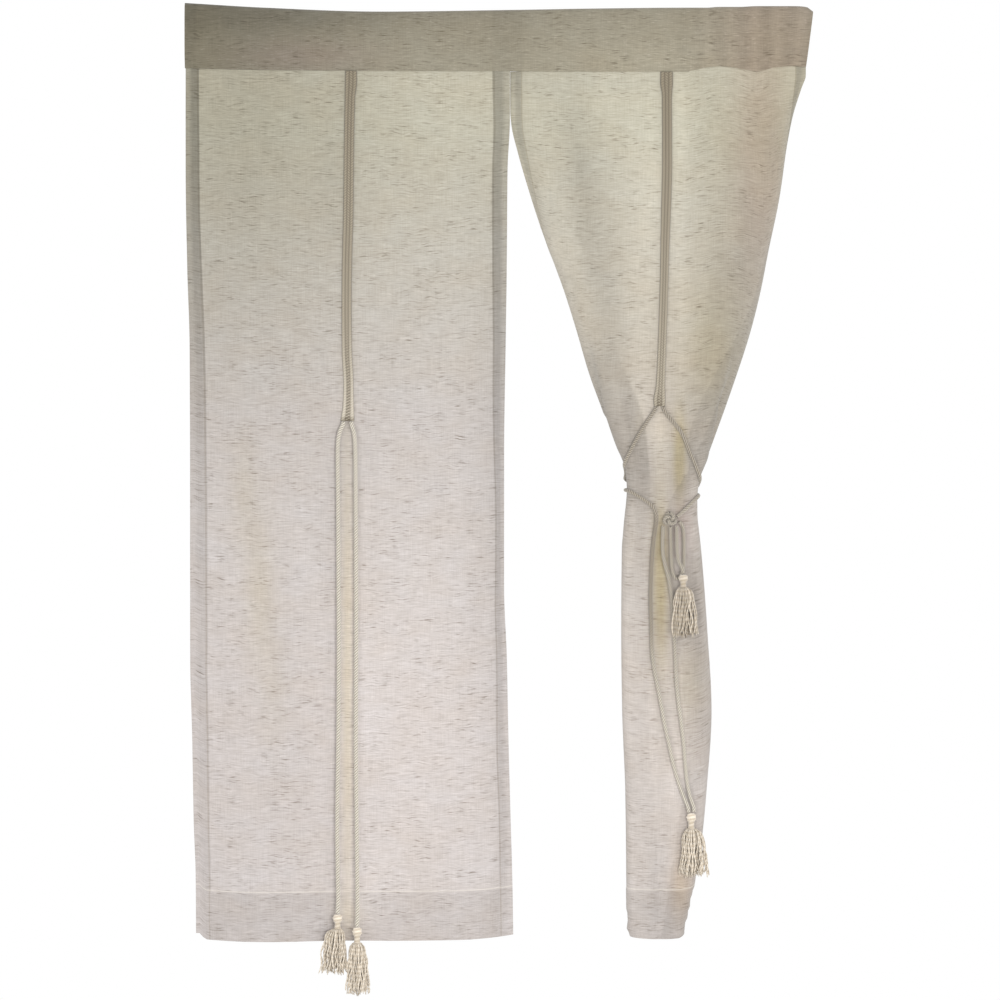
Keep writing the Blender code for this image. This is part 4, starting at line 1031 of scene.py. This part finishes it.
rightPanel = {
    "length": 1.110,
    "columns": 86,          # each side of the middle line
    "rows": 246,
    # drop, left fold, middle line, right fold, cloth in the left half, cloth in the right half, roll
    # radius at the left, at the right, how far the rolls are pressed into pleats (thousandths), front
    "outline": [
        (70, 14.2, 215, 393, 200.7, 178, 150, 32, 0, 0),
        (84, 14.2, 215, 393, 200.7, 178, 150, 32, 0, 0),
        (95, 14.2, 215, 389, 200.7, 177.5, 150, 32, 0, -1),
        (107, 14.2, 215, 385, 200.7, 178, 150, 33, 0, -2),
        (128, 14.2, 215, 379, 200.7, 182, 150, 38, 0, -3),
        (147, 16.0, 215, 375, 200.7, 186, 150, 44, 0, -5),
        (179, 24.4, 215, 369.5, 200.7, 192, 130, 50, 0, -8),
        (230, 40, 214.5, 363, 200.7, 198, 92, 56, 0, -13),
        (307, 65.8, 212.5, 347.2, 200.7, 201, 62, 58, 0, -19),
        (358, 84, 211, 336.8, 200.7, 201, 55, 54, 0, -23),
        (410, 100, 210, 323.4, 200.7, 201, 47, 48, 40, -26),
        (461, 115, 207, 307.4, 200.7, 201, 38, 41, 180, -28),
        (512, 133.6, 204.5, 290, 200.7, 201, 30, 33, 480, -28),
        (563, 151.6, 205, 271, 200.7, 201, 25, 27, 830, -26),
        (573, 156.4, 206.5, 267, 200.7, 201, 24, 26, 900, -25.4),
        (583, 159.8, 208, 263, 200.7, 201, 23, 25, 960, -24.6),
        (592, 161.6, 208.6, 259, 200.7, 201, 22, 24, 1000, -23.8),
        (602, 162.8, 208.6, 255.6, 200.7, 201, 22, 24, 1000, -23),
        (614, 163.4, 208.6, 254, 200.7, 201, 22, 24, 1000, -22.4),
        (626, 162.8, 208.6, 253.2, 200.7, 201, 22, 24, 1000, -22),
        (646, 160.6, 207.8, 253.4, 200.7, 201, 22, 24, 1000, -22),
        (668, 158.6, 207.5, 255.6, 200.7, 201, 22, 24, 1000, -22),
        (690, 157, 207.5, 258, 200.7, 201, 22, 24, 1000, -22),
        (794, 156.2, 210, 266, 200.7, 201, 22, 24, 1000, -22),
        (896, 157.4, 212, 271.4, 200.7, 201, 22, 24, 1000, -22),
        (998, 161.3, 212.5, 265, 200.7, 201, 22, 24, 1000, -22),
        (1060, 162.2, 211, 259, 200.7, 201, 22, 24, 1000, -22),
        (1110, 162.6, 208, 251, 200.7, 201, 22, 24, 1000, -22),
        (1200, 164, 204, 240, 200.7, 201, 22, 24, 1000, -22),
    ],
    # place and half width in thousandths of the way from the middle line to the side fold, depth,
    # and the drops where it starts, is full, fades and ends
    "folds": [
        (-680, 170, 6, 100, 230, 400, 520), (-360, 120, -4, 100, 230, 400, 500),
        (420, 150, 5, 100, 230, 380, 490), (0, 200, 5, 615, 690, 800, 980),
    ],
    # across and drop of both ends, half width, depth
    "creases": [
        (268, 78, 262, 190, 8, 1.6), (300, 80, 296, 240, 9, -1.6), (322, 78, 312, 260, 9, 1.8),
        (345, 78, 332, 280, 8, -1.6), (366, 80, 350, 240, 8, 1.8), (90, 240, 128, 470, 10, 1.4),
        (60, 200, 112, 400, 8, -1.2), (170, 330, 188, 520, 9, 1.2), (262, 300, 244, 500, 10, 1.6),
        (300, 300, 262, 520, 9, -1.4), (150, 430, 172, 570, 7, 1.2), (248, 430, 238, 560, 7, 1.2),
    ],
    "hemTones": (0.71, 0.84, 0.95, 0.92),
    "layerShade": 0.1235,
    # light that comes through along the left fold, where the cloth is single: drop, thousandths
    "foldLight": [(70, 0), (142, 120), (182, 300), (221, 370), (260, 350), (300, 300), (340, 200), (380, 180),
                  (420, 110), (500, 90), (560, 0), (1200, 0)],
    "foldReach": 0.018,
    # how much warmer than the other panel, in thousandths
    "warmth": [(70, 0), (200, 20), (300, 110), (400, 250), (470, 290), (600, 230), (1200, 60)],
    # across, drop, half width, half height, how much pinker
    "blush": [(335, 190, 38, 150, 1.25), (232, 665, 16, 40, 0.7), (232, 1114, 16, 50, 0.6)],
    "flaps": [
        (-1, [(430, 146, 0), (453, 156.2, -110), (486, 170.2, -160), (525, 184.3, -240), (576, 190.7, -200),
              (640, 193, 0)]),
    ],
    # painted shade in darker bands where the fold behind doubles the cloth, painted light in lighter ones: both ends,
    # half width, lighter
    "shades": [
        (364, 20, 244, 660, 40, -0.24), (84, 60, 160, 560, 20, -0.13), (246, 620, 266, 1010, 15, -0.20),
        (160, 640, 158, 1020, 10, 0.06), (140, 450, 172, 590, 5, 0.06), (46, 168, 84, 370, 13, 0.12),
    ],
    # painted light and shade: across, drop, half width, half height, lighter, warmer
    "patches": [
        (207, 590, 62, 80, -0.18, 0.0), (340, 180, 60, 140, 0.0, 0.35), (202, 535, 15, 36, 0.18, 0.0),
        (188, 170, 40, 120, 0.14, 0.0), (208, 250, 22, 90, 0.08, 0.0), (234, 140, 18, 60, 0.10, 0.0),
        (330, 205, 26, 50, 0.10, 0.0), (252, 618, 9, 24, 0.18, 0.0), (214, 665, 28, 42, 0.09, 0.0),
        (222, 1150, 30, 60, -0.12, 0.0), (205, 1080, 12, 90, -0.06, 0.0), (230, 960, 14, 44, 0.08, 0.0),
        (40, 200, 60, 120, 0.02, 0.0), (138, 115, 22, 50, 0.09, 0.0), (183, 330, 16, 110, 0.08, 0.0),
        (230, 330, 12, 110, 0.08, 0.0), (230, 200, 10, 60, 0.06, 0.0), (230, 100, 12, 30, 0.07, 0.0),
        (294, 280, 14, 40, 0.08, 0.0), (181, 528, 10, 26, 0.13, 0.1), (230, 533, 10, 22, 0.10, 0.0),
        (181, 690, 9, 60, -0.08, 0.0), (228, 614, 10, 20, -0.08, 0.0), (205, 790, 10, 40, -0.08, 0.0),
        (258, 890, 14, 30, 0.07, 0.0), (226, 975, 10, 40, 0.08, 0.0), (272, 440, 36, 90, 0.0, 0.35),
        (232, 1114, 14, 50, 0.0, 0.5), (205, 672, 9, 30, 0.10, 0.2), (26, 150, 10, 40, -0.07, 0.0),
        (228, 1100, 10, 30, 0.08, 0.0), (155, 720, 14, 60, -0.06, 0.0), (228, 690, 9, 50, 0.08, 0.0),
        (206, 735, 10, 95, -0.08, 0.9), (230, 575, 8, 55, -0.06, 0.9), (208, 560, 12, 60, 0.08, 0.1),
        (244, 860, 20, 50, -0.04, 0.3),
    ],
}


def foldSection(width, cloth, roll, pressed):
    # half of the gathered panel from above: straight out, then rolled or pleated behind,
    # so that it reaches just as far out as it shows from the front
    s = np.linspace(0, cloth, 401)
    step = s[1]
    side, sideEnd, *folds = pleatFolds(width)
    low = -roll
    high = cloth
    for _ in range(26):
        start = (low + high) / 2
        bend = np.where((s >= start) & (s < start + sideEnd - side), 1 / sideRadius, 0.0)
        way = -1
        for begin, finish in zip(folds[::2], folds[1::2]):
            bend = np.where((s >= begin) & (s < finish), way / pleatRadius, bend)
            way = -way
        ease = np.clip((s - start + 0.006) / 0.012, 0, 1)
        bend = ease / roll * (1 - pressed) + bend * pressed
        turn = np.cumsum(bend) * step
        turn = turn - turn[0]
        out = np.cumsum(np.cos(turn)) * step
        if out.max() > width:
            high = start
        else:
            low = start
    out = (out - out[0]) * width / out.max()
    back = np.cumsum(np.sin(turn)) * step
    return s, out, back - back[0]


def frontFolds(reach, drop):
    # depth that the soft folds add, by how far towards its side fold a place on the face lies
    depth = np.zeros(len(reach))
    for place, half, deep, starts, full, fades, ends in rightPanel["folds"]:
        strength = np.interp(drop / mm, (starts, full, fades, ends), (0, 1, 1, 0))
        depth = depth + deep * mm * strength * np.exp(-((reach * 1000 - place) / half) ** 2)
    return depth


def flapShade(x, drop, flaps):
    # a second layer seen through the first, with a plain edge: which side of the edge it lies on,
    # then drop, place of the edge and how much lighter, in thousandths
    total = np.zeros(x.shape)
    for side, rows in flaps:
        over = np.clip(side * (x - smooth(drop, rows, 1)) / (2 * mm) + 0.5, 0, 1)
        total = total + over * smooth(drop, rows, 2)
    return total


def layersBehind(x):
    # how many more layers of the same level lie over each place of one row
    low = np.minimum(x[:-1], x[1:])
    high = np.maximum(x[:-1], x[1:])
    return ((x[:, None] >= low[None, :]) & (x[:, None] < high[None, :])).sum(axis=1) - 1


def rightSurface(at, levels):
    # the panel's middle surface, one row of places for each distance down the cloth
    drops = np.arange(0.070, 1.2001, 0.005)
    shares = np.linspace(0, 1, 161)
    sides = np.concatenate([-shares[:0:-1], shares])
    across = np.zeros((len(drops), len(sides)))
    depth = np.zeros((len(drops), len(sides)))
    table = np.array([smooth(drops, rightPanel["outline"], n) for n in range(1, 10)])
    for k, drop in enumerate(drops):
        left, middle, right, clothLeft, clothRight, rollLeft, rollRight, pressed, front = table[:, k]
        for side, width, cloth, roll in ((-1, middle - left, clothLeft, rollLeft),
                                         (1, right - middle, clothRight, rollRight)):
            s, out, back = foldSection(width, cloth, roll, pressed)
            mine = sides <= 0 if side < 0 else sides >= 0
            along = np.abs(sides[mine]) * cloth
            across[k, mine] = middle + side * np.interp(along, s, out)
            depth[k, mine] = front + np.interp(along, s, back) + frontFolds(side * along / width, drop)
    steps = np.sqrt(np.diff(across, axis=0) ** 2 + np.diff(depth, axis=0) ** 2 + np.diff(drops)[:, None] ** 2)
    path = np.vstack([np.zeros(len(sides)), np.cumsum(steps, axis=0)])
    tops = seamDrop(across[0]) + linen["seamGap"]
    places = np.zeros((len(levels), len(at), 3))
    for j, side in enumerate(at):
        column = [np.array([np.interp(side, sides, row) for row in grid]) for grid in (across, depth, path)]
        down = levels + np.interp(np.interp(side, sides, tops), drops, column[2])
        places[:, j, 0] = np.interp(down, column[2], column[0])
        places[:, j, 1] = np.interp(down, column[2], column[1])
        places[:, j, 2] = -np.interp(down, column[2], drops)
    places[0, :, 2] = -(seamDrop(places[0, :, 0]) + linen["seamGap"])
    return places


def sheetNormals(places):
    across = np.gradient(places, axis=1)
    down = np.gradient(places, axis=0)
    normal = np.cross(across, down)
    return normal / (np.linalg.norm(normal, axis=2)[..., None] + 1e-12)


def buildRightPanel():
    length = rightPanel["length"]
    stops = stopsAlong(halfCloth, linen["sideHem"], rightPanel["columns"])
    at = np.concatenate([-stops[:0:-1], stops]) / halfCloth
    levels = stopsAlong(length, linen["bottomHem"], rightPanel["rows"])
    places = rightSurface(at, levels)
    side, level = np.meshgrid(at, levels)
    normals = sheetNormals(places)
    facing = np.clip(np.abs(normals[..., 1]) * 1.5 - 0.5, 0, 1)
    front = facing * (places[..., 1] < 0.012)
    x = places[..., 0]
    drop = -places[..., 2]
    small = creaseDepth(x, drop, rightPanel["creases"]) * np.clip((0.60 - drop) / 0.05, 0, 1)
    small = small + 0.0005 * rippleField(side * halfCloth, level, 0.07, 5)
    clear = np.where(drop > 0.49, 0.35, 1 - np.exp(-((x - 0.2125) / 0.022) ** 2))
    fall = np.clip((drop - 0.08) / 0.02, 0, 1)
    behind = np.array([layersBehind(row) for row in x])
    places[..., 1] = places[..., 1] + small * front * clear * fall
    cloth = np.stack([side * halfCloth + 1.0, level, np.zeros(side.shape)], axis=-1)
    edges = np.stack([(1 - np.abs(side)) * halfCloth, length - level, np.zeros(side.shape)], axis=-1)
    # painted shade where layers and hems lie behind, painted light and shade in bands, flaps, patches and along the
    # left fold
    bundle = np.clip((drop - 0.56) / 0.08, 0, 1)
    seen = np.where(side < 0, 0.25 * bundle, 0.65 - 0.25 * bundle)
    layered = rightPanel["layerShade"] * np.clip(behind, 0, 2) * seen
    tone = hemTone(edges, drop, rightPanel["hemTones"]) - layered
    tone = tone + creaseDepth(x, drop, rightPanel["shades"]) / mm
    tone = tone + flapShade(x, drop, rightPanel["flaps"]) + softSum(x, drop, rightPanel["patches"])
    fold = smooth(drop, rightPanel["outline"], 1)
    tone = tone + smooth(drop, rightPanel["foldLight"], 1) * np.exp(-np.abs(x - fold) / rightPanel["foldReach"])
    warmth = smooth(drop, rightPanel["warmth"], 1) + softSum(x, drop, rightPanel["patches"], 5)
    warmth = np.clip(warmth, 0, 1)
    blush = np.clip(softSum(x, drop, rightPanel["blush"]), 0, 1.2)
    panel = layCloth("right_panel_cloth", places, cloth, edges, tone, warmth, blush, panelLinen)
    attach(panel, "root")
    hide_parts("panel_right")
    return panel


rightCloth = buildRightPanel()
print("right panel gathered")


# braids sewn down the middle of both panels

braid = {
    "depth": 0.0030,
    "stitch": 0.0033,       # one crossing of the plait
    "zigzag": 0.0038,       # one turn of the dark strand in the middle
    "ridges": 3,
    "step": 0.0006,
    "columns": 30,
    # drop, how pale the sides are and how dark the middle is in painted shade, in thousandths
    "left_tones": [(78, 0, 60), (380, 60, 100), (450, 320, 420), (500, 560, 600), (519, 600, 600), (522.5, 200, 800),
                   (527, 0, 900)],
    "right_tones": [(78, 0, 60), (380, 60, 100), (480, 100, 150), (500, 60, 400), (509, 0, 700)],
    # drop, middle line, width
    "left": [(78.3, -189.2, 15), (92, -189.4, 15.5), (115, -190.7, 13.2), (185, -192, 13), (260, -192.8, 13.2),
             (330, -194.6, 12.8), (380, -195, 12.8), (435, -194.6, 13), (480, -192.6, 13), (505, -192.8, 14),
             (526, -194, 18)],
    "right": [(79.5, 214.6, 16), (92, 214.4, 16.5), (112, 214.9, 12.8), (197, 214.8, 12.8), (240, 213.7, 12.8),
              (296, 211.8, 11.6), (350, 210.4, 10.8), (403, 208.6, 10.8), (450, 206.8, 10.8), (482, 205.4, 11.8),
              (500, 204.3, 15.5), (508, 204.2, 14.5)],
}


def makeBraidCotton():
    # Flat plaited cotton trim: duller and browner than the cords, with shade between its stitches
    material, tree, surface = startMaterial("plaited_cotton_braid", 0.82, 0.3)
    fibre = addNode(tree, "ShaderNodeAttribute", attribute_name="fibre")
    along = addNode(tree, "ShaderNodeVectorMath", {0: fibre.outputs["Vector"], 1: (1 / 0.0005, 1 / 0.003, 1.0)},
                    operation="MULTIPLY")
    grain = addNode(tree, "ShaderNodeTexNoise", {"Vector": along.outputs[0], "Scale": 1.0, "Detail": 2.0})
    groove = addNode(tree, "ShaderNodeAttribute", attribute_name="groove")
    clean = addNode(tree, "ShaderNodeMix", {0: grain.outputs["Fac"], 6: fromHex("8e8575"), 7: fromHex("b3ab9a")},
                    data_type="RGBA")
    shaded = addNode(tree, "ShaderNodeMix", {0: groove.outputs["Fac"], 6: clean.outputs[2], 7: fromHex("594f40")},
                     data_type="RGBA")
    place = addNode(tree, "ShaderNodeTexCoord").outputs["Object"]
    height = addNode(tree, "ShaderNodeSeparateXYZ", {0: place}).outputs["Z"]
    upper = addNode(tree, "ShaderNodeMapRange", {"Value": height, "From Min": -0.50, "From Max": -0.10})
    paintedShade = addNode(tree, "ShaderNodeMix", {0: upper.outputs[0], 6: shaded.outputs[2], 7: fromHex("dbd8d0")},
                   data_type="RGBA", blend_type="MULTIPLY")  # painted shade, duller and browner towards the heading
    pale = addNode(tree, "ShaderNodeAttribute", attribute_name="pale")
    clear = addNode(tree, "ShaderNodeMix", {0: pale.outputs["Fac"], 6: paintedShade.outputs[2], 7: fromHex("cfc7b9")},
                    data_type="RGBA")                        # the sides are paler where the braid ends
    tree.links.new(clear.outputs[2], surface.inputs["Base Color"])
    bump = addNode(tree, "ShaderNodeBump", {"Height": grain.outputs["Fac"], "Strength": 0.4, "Distance": 0.0003})
    tree.links.new(bump.outputs[0], surface.inputs["Normal"])
    return material


braidCotton = makeBraidCotton()


def rightFront(across, drop):
    return smooth(drop, rightPanel["outline"], 9)


def buildBraid(node, table, tones, depthAt):
    first = table[0][0] * mm
    last = table[-1][0] * mm
    drops = np.linspace(first, last, round((last - first) / braid["step"]))
    middle = smooth(drops, table, 1)
    half = smooth(drops, table, 2) / 2
    side = np.linspace(-1, 1, braid["columns"])
    rings = []
    grooves = []
    fibres = []
    pales = []
    paleSides = smooth(drops, tones, 1)
    darkMiddle = smooth(drops, tones, 2)
    inner = np.exp(-(side / 0.42) ** 2)
    strand = np.clip(np.floor((side + 1) / 2 * braid["ridges"]), 0, braid["ridges"] - 1)
    ridge = (side + 1) * braid["ridges"] - 2 * strand - 1          # place on its own ridge
    dome = np.sqrt(np.clip(1 - ridge ** 2, 0, 1))
    for k, drop in enumerate(drops):
        phase = drop / braid["stitch"] + np.where(strand % 2, -0.5, 0.5) * ridge + strand / 2
        plait = np.abs(np.sin(phase * math.pi)) ** 0.8
        rise = braid["depth"] * (0.50 + 0.32 * dome + 0.18 * plait * dome)
        x = middle[k] + side * half[k] * 0.96
        x = np.concatenate([[middle[k] - half[k]], x, [middle[k] + half[k]]])
        rise = np.concatenate([[0.0], rise, [0.0]])
        # painted shade between the ridges and stitches and in the middle, deepest under the arch at the braid's end
        shade = 0.85 * (1 - dome * (0.15 + 0.85 * plait)) * (1 - 0.5 * paleSides[k] * (1 - inner))
        crossing = 0.5 + 0.5 * np.sin(2 * math.pi * drop / braid["zigzag"] + 1.57 * np.tanh(6 * side))
        deep = np.concatenate([[0.5], np.clip(shade + darkMiddle[k] * inner * (0.2 + 1.2 * crossing), 0, 1), [0.5]])
        light = np.concatenate([[0.0], (1 - inner) * (1 - shade) + 0.5 * inner * (1 - crossing), [0.0]])
        y = depthAt(x, np.full(x.shape, drop)) - linen["thick"] / 2 - linen["gap"] - rise
        rings.append(np.stack([x, y, np.full(x.shape, -drop)], axis=1))
        grooves.append(deep)
        pales.append(light * paleSides[k])
        fibres.append(np.stack([x, np.full(x.shape, drop), np.zeros(x.shape)], axis=1))
    count = len(rings[0])
    quads = []
    for k in range(len(rings) - 1):
        for n in range(count):
            a = k * count + n
            b = k * count + (n + 1) % count
            quads.append((a, b, b + count, a + count))
    quads.append(list(range(count))[::-1])
    quads.append([(len(rings) - 1) * count + n for n in range(count)])
    mesh = bpy.data.meshes.new(node)
    mesh.from_pydata(np.concatenate(rings).tolist(), [], quads)
    addAttribute(mesh, "groove", np.concatenate(grooves))
    addAttribute(mesh, "pale", np.concatenate(pales))
    addAttribute(mesh, "fibre", np.concatenate(fibres), "FLOAT_VECTOR")
    piece = makeObject(node + "_plait", mesh, braidCotton)
    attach(piece, "root")
    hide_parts(node)
    return piece


leftBraid = buildBraid("braid_left", braid["left"], braid["left_tones"], leftSurface)
rightBraid = buildBraid("braid_right", braid["right"], braid["right_tones"], rightFront)
print("braids sewn on")
